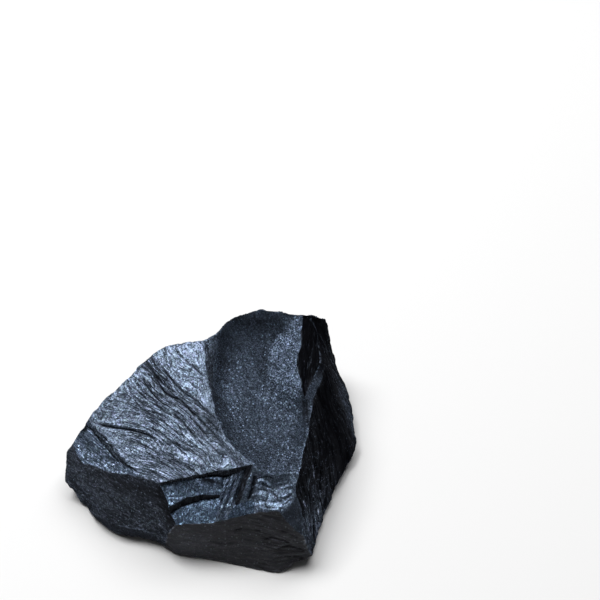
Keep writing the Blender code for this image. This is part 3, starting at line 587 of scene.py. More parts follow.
# Breaks in that face that are deep enough to see one by one: line, depth in mm.
BROAD_BREAKS = [
    ([(174.3, 348.4), (179.6, 354.2), (185.9, 360.9), (193.9, 368), (200.2, 373.4), (205.5, 377.9)], 0.24),
    ([(155.5, 360.9), (160.9, 366.3), (167.1, 374.3), (173.4, 382.3), (179.6, 388.6), (184.1, 393), (192.1, 397.5),
      (197.5, 402), (203.8, 408.2), (210, 413.6), (216.3, 419.4), (220.7, 425.2), (225, 431.4)], 0.34),
    ([(139.5, 365.4), (145.7, 369.8), (151, 373.4), (158.2, 379.6)], 0.22),
    ([(158.2, 383.2), (161.8, 388.6), (165.4, 393), (171.6, 396.6), (179.6, 399.3), (185.9, 405.5), (192.1, 411.8), (199.3, 417.1)], 0.26),
    ([(132.3, 397.5), (137.7, 404.6), (143, 410.9), (149.3, 411.6), (156.4, 412.7), (163.6, 416.3), (169.8, 420.7)], 0.26),
    ([(96.6, 422.9), (102.9, 425.2), (111.8, 427), (120.7, 428.3), (129.6, 429.6), (140.4, 432.3), (147.5, 434.6), (152.9, 437.7), (159.1, 441.3)], 0.50),
    ([(147.5, 425.2), (154.6, 429.6), (161.8, 434.1), (169.8, 440.4), (178.8, 445.7), (185, 450.2), (190.4, 452)], 0.28),
    ([(168, 457.3), (177, 461.8), (185.9, 466.3), (196.6, 472.5)], 0.26),
    ([(106.4, 399.3), (114.5, 405.5), (118.9, 409.1)], 0.16),
    ([(169.8, 409.1), (175.2, 415.4), (180.5, 419.8), (187.7, 427.9), (194.8, 435)], 0.24),
    ([(195.7, 415.4), (201.1, 420.7), (208.2, 427.9), (214.5, 435), (218.9, 441.3)], 0.24),
    ([(185.9, 411.8), (192.1, 419.8), (200.2, 428.8), (207.3, 436.8), (213.6, 444.8)], 0.22),
    ([(151.1, 399.3), (159.1, 407.3), (165.4, 413.6), (175.2, 415.4), (183.2, 424.3), (189.5, 430.5), (194.8, 437.7)], 0.20),
    ([(175.2, 437.7), (181.4, 442.1), (187.7, 445.7), (196, 447.6), (203, 452)], 0.20),
    ([(208.2, 420.7), (213.6, 425.2), (218.9, 431.4), (222.5, 436.8)], 0.20),
    ([(117, 441), (124, 449), (133, 455), (141, 460)], 0.16),
    ([(142, 361), (148, 366), (155, 374.5), (162, 383), (169, 389), (177, 394.5)], 0.24),
    ([(157, 381), (163, 390.5), (170, 396), (180, 399.5)], 0.20),
    ([(172, 396), (181, 402), (190, 410), (199, 419), (207, 428)], 0.12),
    ([(180, 397), (190, 403), (200, 412), (209, 421), (217, 431), (223, 439)], 0.16),
    ([(134, 399), (146, 406), (158, 417), (171, 429), (184, 437)], 0.18),
    ([(127, 423), (140, 426), (153, 433), (165, 443), (176, 449)], 0.18),
    ([(200, 436), (210, 445), (219, 454), (228, 461)], 0.22),
    ([(178, 458), (190, 463), (203, 469)], 0.16),
]

# Short wrinkles of the scoop's right edge, and the faint folds that run down to them.
RIM_WRINKLES = [
    [(268, 352), (273, 345), (280, 338), (287, 331)], [(276, 360), (283, 353), (292, 349)],
    [(280, 372), (288, 368), (297, 369)], [(283, 384), (290, 386), (298, 392)], [(286, 396), (292, 401), (299, 409)],
    [(288, 412), (295, 415), (303, 415)], [(291, 424), (298, 428), (305, 426)], [(293, 438), (299, 441), (305, 438)],
    [(287, 448), (295, 450), (302, 448)], [(309, 392), (313, 397), (315, 404)], [(308, 402), (311, 408), (312, 414)],
]

# Domes in the lumpy front face: place, half-width, half-height, turn in degrees, height in mm, and sheen, a painted
# highlight over the dome.
LUMPS = [
    (263.1, 495.1, 5.6, 4.7, 0, 0.45, 0.80), (270.2, 498.2, 3.6, 4.8, 20, 0.40, 1.20),
    (275.4, 505.4, 8.2, 4.0, 4, 0.45, 1.00), (262.0, 504.4, 2.7, 3.9, 0, 0.25, 1.10),
    (259.2, 485.2, 3.0, 4.4, 15, 0.20, 1.70), (286.5, 503.0, 4.5, 3.2, -35, 0.30, 0.55),
    (281.0, 496.6, 4.2, 2.6, 0, 0.20, 0.40), (287.0, 491.0, 5.0, 2.4, -20, 0.20, 0.35),
]
# Its ridges: line, height in mm, half-width, and sheen, a painted highlight along the ridge.
RIDGES = [
    ([(256.4, 482.5), (258.5, 480.8), (261, 480), (264, 480.6), (266.6, 481.8), (269, 483.8), (272.2, 486.2)], 0.42, 1.3, 2.1),
    ([(279.2, 497.9), (282.5, 496.9), (285.5, 495.8), (290.4, 493), (292.5, 491.6)], 0.32, 1.5, 1.0),
    ([(282, 504.2), (286.2, 502), (289, 499.3), (291, 497.2)], 0.28, 1.2, 0.9),
    ([(261, 508), (264.5, 509.2), (268, 509.8), (273.6, 510.2), (279.2, 509.4)], 0.16, 1.0, 0.9),
    ([(254, 499.3), (255, 504.2), (256.8, 507)], 0.12, 0.8, 0.8),
    ([(281, 489.2), (284.5, 488), (287.6, 486.7), (292.5, 485.3)], 0.26, 1.2, 0.8),
    ([(258, 478), (260.5, 476.4), (263.5, 475.6), (267, 475.4)], 0.16, 0.9, 0.5),
    ([(276, 484.5), (280, 483), (284, 483.2), (288, 481.6)], 0.18, 0.9, 0.35),
]

# Creases that part those domes; the sheen is also pulled down along them as painted shade.
LUMP_CREASES = [
    [(255.2, 483), (256.4, 480.4), (258.4, 478.6), (261, 477.6), (265.5, 476.8), (270, 477), (274, 479)],
    [(257, 489.8), (261, 489.4), (265.5, 490.4), (268.6, 492.4)], [(268.4, 492.6), (267.2, 498.6), (265.2, 502.8)],
    [(258.4, 499.6), (262, 500.6), (265.8, 501)], [(270, 502.4), (274, 501.6), (278.4, 502), (282.4, 500.2)],
    [(264.6, 502.5), (265.4, 506), (268.2, 508.8)], [(272.6, 493), (275.4, 495.4), (277.6, 498.6), (276.4, 501.4)],
    [(283, 499.6), (287, 497.8), (290.8, 495.2)], [(262.6, 484.4), (266.4, 486.4), (270.6, 488.4), (275, 489.4)],
    [(284.4, 490.6), (289, 489.6), (293, 487.6)],
]

# Ridges and valleys of the fluted flank: line, height in mm (below 0 for a valley), half-width.
FLUTES = [
    ([(223, 486), (220.5, 496), (217.5, 508), (216, 518)], 0.35, 1.6),
    ([(229.5, 479), (225.5, 490), (221, 503), (218.5, 513)], -0.30, 0.9),
    ([(233, 474), (229.5, 487), (224.5, 501), (219.5, 514)], 0.30, 1.4),
    ([(236.5, 476), (233, 486), (227.5, 500), (223.5, 513)], -0.30, 0.9),
    ([(240.5, 474), (237, 487), (232, 501), (227.5, 514)], 0.30, 1.3),
]

# Arrises that lie at the foot of a step and are filled with shadow.
DARK_CREASES = [
    [(86, 423), (91, 429), (96, 434.5), (104, 445), (112.2, 454.5), (121.6, 462.2), (131, 468)],
    [(93, 429), (97.4, 431.6), (106, 438.6)],
]

# Shallow level breaks in the smooth front face: line, depth in mm.
FRONT_BREAKS = [
    ([(232, 531), (243, 528.5), (254, 529.5), (263, 532)], 0.25),
    ([(254, 516), (262, 520), (271, 522.5), (281, 521)], 0.20),
    ([(262, 540), (272, 537.5), (283, 540.5), (293, 545)], 0.30),
    ([(280, 531), (290, 535), (299, 538.5)], 0.25),
    ([(276, 549), (288, 546), (300, 549.5), (307, 552)], 0.30),
    ([(270, 561), (283, 556), (296, 557), (306, 558.5)], 0.25),
    ([(205, 540), (220, 543.5), (238, 543)], 0.14),
    ([(240, 553), (252, 550), (266, 552.5)], 0.16),
]

# Cracks up the steep right face; and the creases between the cheek and the broad left face, along which the sheen is
# pulled down to near black as painted shade.
RIGHT_BREAKS = [
    ([(320.5, 460), (321, 480), (321.8, 500), (321.5, 526)], 0.55),
    ([(306, 468), (308, 485), (310.5, 502), (313, 520), (315, 544)], 0.50),
    ([(326.5, 470), (327.5, 486), (327, 506), (325, 524)], 0.35),
    ([(313, 452), (315.5, 464), (319, 478)], 0.30),
]
CHEEK_CREASE_SHADE = [
    ([(87, 425.5), (92, 430.5), (98, 436.5), (104, 441), (110, 445.3), (114, 451.3), (120, 458.6), (127.5, 464.8),
      (134, 469.3), (136.5, 474)], 0.55, 0.90),
    ([(92, 430), (96, 435), (101, 442), (107.5, 450), (113, 456)], 0.45, 0.60),
    ([(109.5, 448.5), (112.5, 453), (114.5, 458)], 1.7, 0.60),
]

# Arrises that get a painted highlight along their edge.
PAINTED_HIGHLIGHT_ARRISES = [
    [(309, 317.5), (313, 322.4), (316.5, 332), (318.3, 346), (318.4, 362), (316, 374)],
    [(302, 325), (300.7, 335), (300.5, 346), (297.2, 356), (296.7, 366), (299.7, 377), (302, 391), (304.6, 398)],
    [(308.5, 430), (306, 441), (304, 448), (301, 463.5), (298.5, 473.5), (295.8, 484), (296.5, 496), (301.4, 508.6),
     (302.3, 519.3), (303.2, 535.4), (305, 542.5)],
    [(118, 525), (129.6, 528.2), (146.6, 531.8)],
    [(80.5, 460.4), (95.7, 466.6), (110, 472), (122.5, 473.8), (138.6, 476.4)],
    [(176, 525), (186, 524.4), (199, 524), (214.5, 522.7), (226.5, 519.5)],
    [(176, 525), (171, 529), (168, 535), (166, 541)],
    [(204, 341), (209, 338.4), (219.6, 331.3), (226, 322.5)],
    [(217, 341), (215.5, 354), (213.8, 368), (213.3, 384)],
    [(251, 472.5), (246.3, 485), (242, 496.5), (239.5, 504)],
]

# How each fracture face is finished: sheen, partly the stone's fresh finish and partly painted highlight
# and shade, below 0 painted shade; hue (-1 warm black to 1 blue), dark lines, sparkle, light fibres.
FINISH_AND_PAINTED_LIGHT = {
    "broad_left": (1.04, 0.25, 0.6, 0.90, 0.0), "ledge": (0.40, 0.3, 0.9, 1.0, 0.1),
    "scoop": (0.335, 0.6, 0.35, 1.05, 0.0), "rim_facet": (0.30, 0.5, 0.7, 1.0, 0.10),
    # the right notch and right shoulder are darkened below 0 sheen: painted shade on the right side
    "right_notch": (-0.40, 0.0, 0.7, 1.2, 0.06), "right_shoulder": (-0.38, 0.0, 0.7, 0.8, 0.15),
    "cheek_riser": (1.15, 0.3, 0.6, 1.0, 0.0), "left_cheek": (1.80, 0.5, 0.7, 1.0, 0.2),
    "dark_left": (0.24, 0.0, 0.4, 1.0, 0.25), "undercut": (0.15, 0.0, 0.3, 0.6, 0.1),
    "riser_1": (0.12, 0.0, 0.8, 0.6, 0.3), "tread_1": (1.95, 0.8, 0.5, 1.0, 0.0),
    "riser_2": (0.08, 0.0, 0.8, 0.5, 0.1), "tread_2": (1.04, 1.0, 0.1, 0.85, 0.0),
    "flutes": (1.25, 0.5, 0.8, 1.0, 0.3), "spur_side": (0.10, 0.2, 1.0, 0.8, 0.35),
    "tread_3": (0.95, 1.0, 0.2, 1.0, 0.0), "lumpy_front": (0.84, 0.4, 0.2, 0.80, 0.0),
    "corner_facet": (0.26, 0.3, 0.2, 0.6, 0.1), "smooth_front": (0.24, -1.0, 0.4, 0.24, 0.0),
    # the steep right face is darkened below 0 sheen: painted shade on that side
    "right_face": (-0.24, 0.0, 1.0, 1.0, 0.16), "front_chip": (0.15, -0.5, 0.5, 0.6, 0.1),
    "left_foot": (0.30, 0.0, 0.7, 0.7, 0.2),
}
FINISH_AND_PAINTED_LIGHT.update({
    "back_left": (0.46, 0.3, 0.5, 0.9, 0.15), "back_left_upper": (0.62, 0.4, 0.5, 1.0, 0.05),
    "back_gully_left": (0.42, 0.2, 0.5, 0.9, 0.15), "back_gully_right": (0.55, 0.4, 0.5, 1.0, 0.05),
    "back_right": (0.44, 0.6, 0.2, 0.9, 0.0), "back_right_outer": (0.58, 0.4, 0.6, 1.0, 0.05),
    "back_corner": (0.32, 0.1, 0.7, 0.9, 0.25), "back_left_foot": (0.36, 0.1, 0.4, 0.9, 0.10),
    "back_left_lower": (0.32, 0.0, 0.4, 0.8, 0.15), "back_middle_foot": (0.30, -0.4, 0.4, 0.7, 0.05),
    "back_right_foot": (0.38, 0.1, 0.6, 0.8, 0.15),
})
FINISH_BEHIND = (0.50, 0.2, 0.8, 0.9, 0.3)
FINISH_FOOT = (0.25, 0.0, 0.6, 0.7, 0.2)

# How the ribs lie on the faces that don't show from the front: their turn from straight down the face,
# degrees, and the heights of their steps and of their fine ribs, mm.
BACK_RIBS = {
    "back_left": (25, 0.45, 0.12), "back_left_upper": (-30, 0.50, 0.10), "back_gully_left": (14, 0.55, 0.14),
    "back_gully_right": (-20, 0.40, 0.08), "back_right": (50, 0.08, 0.04), "back_right_outer": (30, 0.45, 0.10),
    "back_corner": (8, 0.50, 0.16), "back_left_foot": (-15, 0.35, 0.10), "back_left_lower": (38, 0.45, 0.12),
    "back_middle_foot": (75, 0.20, 0.06), "back_right_foot": (-24, 0.50, 0.14), "left_foot": (30, 0.30, 0.12),
}

# Lighter and darker patches, partly the stone's own uneven tone and partly painted highlight and painted
# shade: place on the sheet, reach along and across, turn in degrees, change of sheen.
PATCHES = {
    "broad_left": [
        (190, 457, 17, 7, 40, 0.52), (139, 452, 16, 6, 25, 0.25), (158, 449, 8, 5, 30, -0.30),
        (122, 411, 16, 9, 20, 0.10), (200, 360, 12, 9, 70, 0.15), (130, 436, 14, 4, 15, -0.15),
        (160, 425, 12, 4, 35, 0.15), (225, 462, 12, 5, 30, 0.10), (134, 374, 12, 5, -45, 0.20),
        (206, 428, 20, 8, 50, -0.15), (148, 370, 12, 5, 50, -0.15),
        (111, 419, 5, 4, 0, -0.40), (86.5, 424, 4, 3, -45, -1.20), (150, 470, 20, 6, 15, 0.10), (186, 452, 26, 10, 36, 0.12),
    ],
    # a painted highlight along the ledge's right edge
    "ledge": [(212, 336, 12, 6, 120, 1.1), (217, 352, 14, 3, 95, 0.3)],
    "scoop": [
        (291, 370, 32, 11, 85, 0.80), (265, 366, 22, 4, 92, -0.22), (212.5, 390, 36, 4.5, 78, -0.20), (221.5, 338, 14, 4, 95, -0.18), (225, 386, 24, 4.0, 64, 0.34), (232, 372, 26, 9, 70, 0.12),
        (278, 340, 12, 2.5, 130, 0.15), (240, 332, 12, 5, 60, 0.08), (240, 385, 24, 9, 75, -0.06),
        (262, 322, 30, 7, 5, -0.25), (292, 335, 12, 6, 110, 0.22), (255, 400, 30, 16, 70, 0.02),
        (303.5, 404, 20, 2.0, 86, -0.60), (298, 400, 16, 4, 95, 0.12), (226, 360, 26, 8, 96, -0.12),
        (290, 445, 18, 8, 90, -0.05), (270, 457, 22, 5, 10, -0.05),
    ],
    "rim_facet": [(322, 367, 9, 7, 120, -0.95), (313, 391, 10, 3.0, 105, 0.20), (307, 414, 16, 1.6, 84, -0.50)],
    "right_notch": [(313, 384, 5, 4, 100, 0.75), (310, 389, 6, 3.5, 110, 0.65), (304, 380, 14, 2.5, 86, -0.5)],
    "lumpy_front": [(277, 483, 14, 4, 5, -0.05), (268, 488, 6, 4, 20, 0.20), (252.6, 489, 15, 2.0, 105, -0.7),
                    (247.5, 487, 17, 2.4, 106, 0.8), (290, 480, 5, 3, 0, 0.6), (250, 506, 10, 4, -10, 0.6)],
    "left_cheek": [(84.5, 428.5, 7, 4, -45, -2.70), (82, 441, 9, 4, 45, 0.25), (110, 457, 5, 3, 50, -0.30),
                   (100, 466, 26, 3.5, 22, 0.35), (124, 468, 9, 4, 30, 0.30), (92, 446, 10, 6, 45, 0.0)],
    "cheek_riser": [(90, 428.5, 4, 3, 45, -1.10)],
    "tread_2": [(200, 506, 12, 3, -10, -0.2), (208, 517, 14, 4, -4, 0.25)],
    "tread_3": [(242, 511, 8, 4, -10, 0.3)],
    # a painted shadow under the overhanging ledge, with two thin lighter lines across it
    "tread_1": [(176, 488, 12, 4, 10, 0.15), (212, 492.5, 12, 2.5, 3, 0.2), (212, 482.0, 12, 4.8, 10, -2.5), (202, 479, 8, 2.8, 12, -1.6), (222, 485, 4, 2.6, 20, -1.2), (213, 484.2, 8, 0.8, 14, 0.9), (206, 480.6, 7, 0.7, 16, 0.7)],
    "flutes": [(229, 488, 16, 4, 113, 0.5), (240, 480, 14, 3, 105, -0.6), (222, 505, 12, 3, 110, 0.3)],
    "spur_side": [(243, 484, 20, 3.5, 106, -0.3)],
    # the dark band across its upper part is painted shade
    "right_face": [(313, 524, 14, 30, 12, 1.1), (326, 485, 12, 24, 10, 0.35), (330, 400, 45, 12, 92, -0.25), (351, 412, 55, 9, 71, 0.80)],
    "dark_left": [(78, 478, 16, 8, 60, 0.12), (170, 512, 28, 7, 72, -0.50), (140, 489, 30, 5, 14, -0.25),
                  (118, 508, 24, 12, 30, 0.08), (112, 478, 16, 5, 20, -0.15)],
    "smooth_front": [(192, 545, 18, 14, 0, 0.15)],
}

# The calmer tip of the broad left face, where its ribs flatten out.
CALM_TIP = [(216, 452, 26, 11, 35, 1.0)]

# Where the light fibres are thick: place on the sheet, reach along and across, turn in degrees, strength.
FIBRES = {
    "right_face": [
        (313, 520, 30, 9, 96, 1.5), (312.5, 478, 12, 3.2, 97, 2.2), (318.5, 522, 12, 3.0, 97, 1.4),
        (324.4, 494, 18, 1.3, 91, 1.8), (309, 528, 24, 1.8, 80, 1.2), (316, 458, 8, 3.0, 95, 0.9),
        (324, 425, 45, 1.3, 95, 0.4), (350, 415, 45, 8.0, 71, 0.50), (306, 470, 24, 2.0, 98, 0.4),
    ],
    "right_notch": [(311, 360, 16, 5, 100, 0.35)],
    "scoop": [(223, 383, 30, 5, 66, 0.55), (219, 352, 14, 5, 86, 0.45), (236, 350, 22, 10, 80, 0.12), (292, 385, 60, 9, 88, 0.10)],
    "smooth_front": [(285, 545, 24, 14, 10, 0.35), (180, 545, 12, 12, 0, 0.15)],
}


# Where the grains sparkle more: place on the sheet, reach along and across, turn in degrees, gain.
GLINTS = {
    "scoop": [(219, 372, 42, 7, 82, 1.2), (238, 425, 26, 10, 60, 0.35), (262, 457, 36, 14, 12, 0.35)],
    "right_face": [(318, 440, 44, 14, 95, 0.9)],
    "smooth_front": [(235, 545, 70, 25, 5, 0.12)],
}


def patched(patches, xy):
    """What a face's patches add up to, at each place."""
    total = np.zeros(len(xy))
    for x, y, along, across, turn, gain in patches:
        c, s = math.cos(math.radians(turn)), math.sin(math.radians(turn))
        u = ((xy[:, 0] - x) * c + (xy[:, 1] - y) * s) / along
        v = ((xy[:, 1] - y) * c - (xy[:, 0] - x) * s) / across
        total += gain * np.exp(-(u * u + v * v))
    return total


def oval(xy, x, y, wide, high, turn):
    """Distance from the middle of an oval, 1 on its rim."""
    c, s = math.cos(math.radians(turn)), math.sin(math.radians(turn))
    u = ((xy[:, 0] - x) * c + (xy[:, 1] - y) * s) / wide
    v = ((xy[:, 1] - y) * c - (xy[:, 0] - x) * s) / high
    return np.sqrt(u * u + v * v)


def stepped(across, along, seed, reach):
    """Scale-like steps: each rib eases up and then breaks off sharply, and fades in and out."""
    warp = 0.55 * smooth_noise(np.column_stack((across * 0.7, along / reach, np.zeros(len(across)))), 1.0, seed)
    phase = across + warp
    saw = phase - np.floor(phase)
    rise = np.where(saw < 0.86, saw / 0.86, (1 - saw) / 0.14)
    row = np.floor(phase)
    live = smooth_noise(np.column_stack((row * 7.3, along / (0.6 * reach), np.full(len(across), 0.5))), 1.0, seed + 1)
    return (rise - 0.5) * np.clip(0.35 + 1.1 * live, 0, 1)


def slope_frame(points, turn):
    """Coordinates in mm across and along the ribs of a face, turned from straight down it, and out of it."""
    middle = points.mean(axis=0)
    out = np.linalg.svd((points - middle)[:: max(1, len(points) // 4000)], full_matrices=False)[2][2]
    if out @ (middle - (0, -5, 10)) < 0:
        out = -out
    level = np.array((-out[1], out[0], 0.0))
    level /= np.linalg.norm(level)
    down = np.cross(out, level)
    c, s = math.cos(math.radians(turn)), math.sin(math.radians(turn))
    offset = points - middle
    across, along = offset @ (c * level + s * down), offset @ (c * down - s * level)
    bent = across * (1 + 0.022 * along) + 0.007 * along**2 + 1.1 * smooth_noise(points, 10.0, 161)
    return bent, along, offset @ out


def grain_frame(points, xy, face):
    """Coordinates in mm for a face's grain: across its ribs, along them (drawn out) and a spare one."""
    if face in BACK_RIBS and face != "back_right":
        across, along, out = slope_frame(points, BACK_RIBS[face][0])
        return np.column_stack((across, 0.35 * along, 0.5 * out))
    if face == "broad_left":
        count = stream(xy, BROAD_GUIDES)
        return np.column_stack((count, (xy @ np.array((0.75, 0.66))) * 0.25 * 0.40, points[:, 2] * 0.3))
    if face in ("flutes", "spur_side"):
        fan = np.arctan2(xy[:, 1] - 440.0, xy[:, 0] - 262.0)
        away = np.linalg.norm(xy - (262.0, 440.0), axis=1)
        return np.column_stack((fan * 14.0, away * 0.25 * 0.35, points[:, 2] * 0.2))
    if face == "right_notch":
        return np.column_stack((xy @ np.array((1.0, 0.12)) * 0.25, xy[:, 1] * 0.25 * 0.3, points[:, 2] * 0.2))
    if face in ("right_face", "right_shoulder"):
        up = points @ np.array((0.3, 0.45, 0.84))
        across = points @ np.array((0.0, 0.88, -0.47))
        return np.column_stack((0.8 * across, up * 0.32, points[:, 0] * 0.5))
    if face == "smooth_front":
        return np.column_stack((points[:, 2] + 0.07 * points[:, 0], points[:, 0] * 0.25, points[:, 1] * 0.3))
    if face in ("dark_left", "left_cheek"):
        return np.column_stack((xy @ np.array((-0.60, 0.80)) * 0.25, xy @ np.array((0.80, 0.60)) * 0.25 * 0.4, points[:, 2] * 0.3))
    if face in ("scoop", "rim_facet"):
        turn = points @ np.array(((0.8, 0.6, 0), (-0.6, 0.8, 0), (0, 0, 1))).T
        return turn * np.array((1.2, 1.2, 1.8))
    return points


def fine_relief(points, home, gap, behind, names):
    """Height of the fine surface above the smooth faces and of its broad unevenness, mm, for every point."""
    xy = sheet_of(points)
    number = {name: i for i, name in enumerate(names)}
    ease = 0.35 + 0.65 * np.clip(gap / 0.6, 0, 1)
    height = 0.085 * smooth_noise(points, 2.3, 31) + 0.06 * smooth_noise(points, 1.1, 32)
    height += 0.045 * smooth_noise(points, 0.6, 33)
    own = np.zeros(len(points))
    broad = np.zeros(len(points))

    def on(*faces):
        return np.flatnonzero(np.isin(home, [number[f] for f in faces]))

    # broad left face: fanning ribs, a bright flat band beside the right arris, a few sharp creases
    i = on("broad_left")
    count = stream(xy[i], BROAD_GUIDES)
    run = xy[i] @ np.array((0.75, 0.66)) * 0.25
    calm = np.clip((count - 7.5) / 2.0, 0.22, 1.0) * np.clip(1.25 - 0.5 * np.clip((count - 21.5) / 1.5, 0, 1), 0, 1)
    height[i] *= 0.35
    calm *= 1 - 0.65 * patched(CALM_TIP, xy[i])
    own[i] = calm * (0.16 * stepped(count * 0.42, run, 41, 16.0) + 0.08 * stepped(count * 1.05 + 0.3, run, 43, 10.0))
    for line, depth in BROAD_BREAKS:
        own[i] += groove(xy[i], line, 0.9 * depth, 0.85)

    # scoop: shallow ripples of a curved break
    i = on("scoop")
    height[i] *= 0.6
    centre = np.array((330.0, 300.0))
    away = np.linalg.norm((xy[i] - centre) * (1.0, 0.7), axis=1)
    own[i] = 0.05 * smooth_noise(np.column_stack((away / 5.0, xy[i] / 60.0)), 1.0, 51)
    own[i] += 0.05 * smooth_noise(np.column_stack((away / 1.6, xy[i] / 24.0)), 1.0, 52) * np.clip((300 - xy[i][:, 0]) / 60, 0.3, 1)
    own[i] += groove(xy[i], [(255, 470), (262, 473.3), (270, 475.2), (281, 475.2), (292, 473.2)], 0.35, 1.1)
    own[i] += scarp(xy[i], [(285, 330), (275, 342), (267, 354), (265, 370), (268, 388)], -0.42, 1.6, 7.0)

    i = on("scoop", "rim_facet")
    own[i] += groove(xy[i], [(302.5, 384), (304, 394), (305.5, 408), (307.5, 426)], 0.45, 1.1)
    for k, line in enumerate(RIM_WRINKLES):
        own[i] += groove(xy[i], line, 0.16, 0.8)

    # front lumps: domes with creases round them, and arched ripples above
    i = on("lumpy_front")
    dome = np.zeros(len(i))
    for x, y, wide, high, turn, tall, _ in LUMPS:
        dome = np.maximum(dome, tall * (1 - oval(xy[i], x, y, wide, high, turn) ** 2))
    valley = groove(xy[i], [(255.5, 474), (254.6, 483), (251.5, 493), (247.5, 502)], 0.4, 1.8)
    own[i] = 0.40 * dome + 0.10 * smooth_noise(points[i], 1.3, 61) + 0.08 * smooth_noise(points[i], 0.8, 62)
    for line, tall, width, _ in RIDGES:
        own[i] = np.maximum(own[i], groove(xy[i], line, -tall, width))
    own[i] += valley
    for line in LUMP_CREASES:
        own[i] += groove(xy[i], line, 0.16, 0.65)

    # fluted flank
    i = on("flutes", "spur_side")
    fan = np.arctan2(xy[i][:, 1] - 440.0, xy[i][:, 0] - 262.0)
    away = np.linalg.norm(xy[i] - (262.0, 440.0), axis=1)
    own[i] = 0.16 * ribbed(fan * 15.0, away / 60.0, 71, 0.8) + 0.08 * ribbed(fan * 40.0, away / 25.0, 72, 0.8)

    i = on("flutes")
    for line, tall, width in FLUTES:
        own[i] += groove(xy[i], line, -tall, width)

    # small treads
    i = on("tread_1")
    own[i] = 0.12 * smooth_noise(points[i], 1.3, 75)
    own[i] += groove(xy[i], [(186, 482), (192, 488), (199, 494)], 0.3, 0.8)
    inside = 1 - ((xy[i][:, 0] - 211) / 15) ** 2 - ((xy[i][:, 1] - 480.5 - 0.1 * (xy[i][:, 0] - 211)) / 7.5) ** 2
    own[i] += 0.55 * np.sqrt(np.clip(inside, 0, 1)) + 0.10 * ribbed(xy[i][:, 1] * 0.25 / 0.8, xy[i][:, 0] * 0.25 / 6.0, 77, 0.8)
    i = on("tread_2", "tread_3")
    own[i] = 0.10 * smooth_noise(points[i], 1.2, 76)

    # smooth front face: faint level ribs, stronger towards its right end
    i = on("smooth_front")
    level = (xy[i][:, 1] - 0.07 * xy[i][:, 0]) * 0.25
    own[i] = 0.10 * ribbed(level / 1.1, xy[i][:, 0] * 0.25 / 16.0, 81, 0.6) * np.clip((xy[i][:, 0] - 200) / 70, 0.12, 1.2)
    for line, depth in FRONT_BREAKS:
        own[i] += groove(xy[i], line, depth, 0.9)

    # steep right face: ribs that run up it
    i = on("cheek_riser", "riser_1", "riser_2")
    own[i] = 0.15 * smooth_noise(points[i], 1.4, 85)
    i = on("right_notch", "rim_facet")
    down = xy[i][:, 0] * 0.25 + 0.03 * xy[i][:, 1]
    own[i] = 0.16 * ribbed(down / 0.9, xy[i][:, 1] * 0.25 / 6.0, 95, 0.8) + 0.08 * ribbed(down / 0.5, xy[i][:, 1] * 0.25 / 4.0, 96, 0.8)
    i = on("right_face", "right_shoulder")
    up = points[i] @ np.array((0.3, 0.45, 0.84))
    across = points[i] @ np.array((0.0, 0.88, -0.47))
    foot = np.clip((xy[i][:, 1] - 470) / 40, 0, 1)
    own[i] = 0.30 * stepped(across / 2.2, up, 91, 10.0) + (0.16 + 0.14 * foot) * ribbed(across / 1.0, up / 7.0, 92, 0.8)
    for line, depth in RIGHT_BREAKS:
        own[i] += groove(xy[i], line, depth, 0.8)
    broad[i] = 0.60 * stepped(across / 6.5 + 0.3, up, 93, 14.0) + 0.25 * smooth_noise(points[i], 4.5, 94)

    # dark left face and cheek: uneven, finely pitted break
    for face, seed in (("dark_left", 101), ("undercut", 102), ("left_cheek", 103)):
        i = on(face)
        own[i] = 0.12 * smooth_noise(points[i], 3.0, seed) + 0.08 * smooth_noise(points[i], 0.9, seed + 50)
    i = on("left_cheek")
    own[i] += groove(xy[i], [(104, 455), (110, 459.5), (117, 462.5)], 0.25, 2.5)
    i = on("left_cheek", "broad_left")
    own[i] += groove(xy[i], [(119, 459.5), (124, 463), (130, 467), (137, 472.5)], 0.35, 0.9)
    i = on("cheek_riser", "left_cheek", "broad_left")
    own[i] += groove(xy[i], [(90, 428), (97, 433), (103.5, 438), (110, 443), (115, 450.6), (120, 457), (126, 462)], 0.26, 0.75)
    own[i] += groove(xy[i], [(86, 425), (91, 430), (97.5, 437.5), (105.5, 446.5), (112.5, 456), (119, 461), (128, 466.3), (136, 470.5)], 0.42, 0.9)

    # faces round the back: stepped ribs, each face with its own lie
    for k, (face, (turn, tall, thin)) in enumerate(BACK_RIBS.items()):
        i = on(face)
        across, along, _ = slope_frame(points[i], turn)
        own[i] = tall * stepped(across / 3.4, along, 111 + k, 8.0) + thin * ribbed(across / 1.0, along / 5.0, 131 + k, 0.8)
        own[i] += 0.3 * tall * stepped(across / 1.3 + 0.4, along, 221 + k, 5.0) + 0.10 * smooth_noise(points[i], 1.7, 151 + k)
        own[i] *= np.clip(behind[i] / 4.0, 0.15, 1.0)
    for k, face in enumerate(n for n in names if n.startswith("foot")):
        i = on(face)
        own[i] = 0.14 * smooth_noise(points[i], 2.2, 191 + k) + 0.08 * smooth_noise(points[i], 0.9, 211 + k)
    return height + own * ease, broad * ease


def vertex_normals(points, tri):
    a, b, c = points[tri[:, 0]], points[tri[:, 1]], points[tri[:, 2]]
    n = np.cross(b - a, c - a)
    total = np.column_stack(
        [
            sum(np.bincount(tri[:, k], weights=n[:, axis], minlength=len(points)) for k in range(3))
            for axis in range(3)
        ]
    )
    return total / np.maximum(np.linalg.norm(total, axis=1), 1e-12)[:, None]


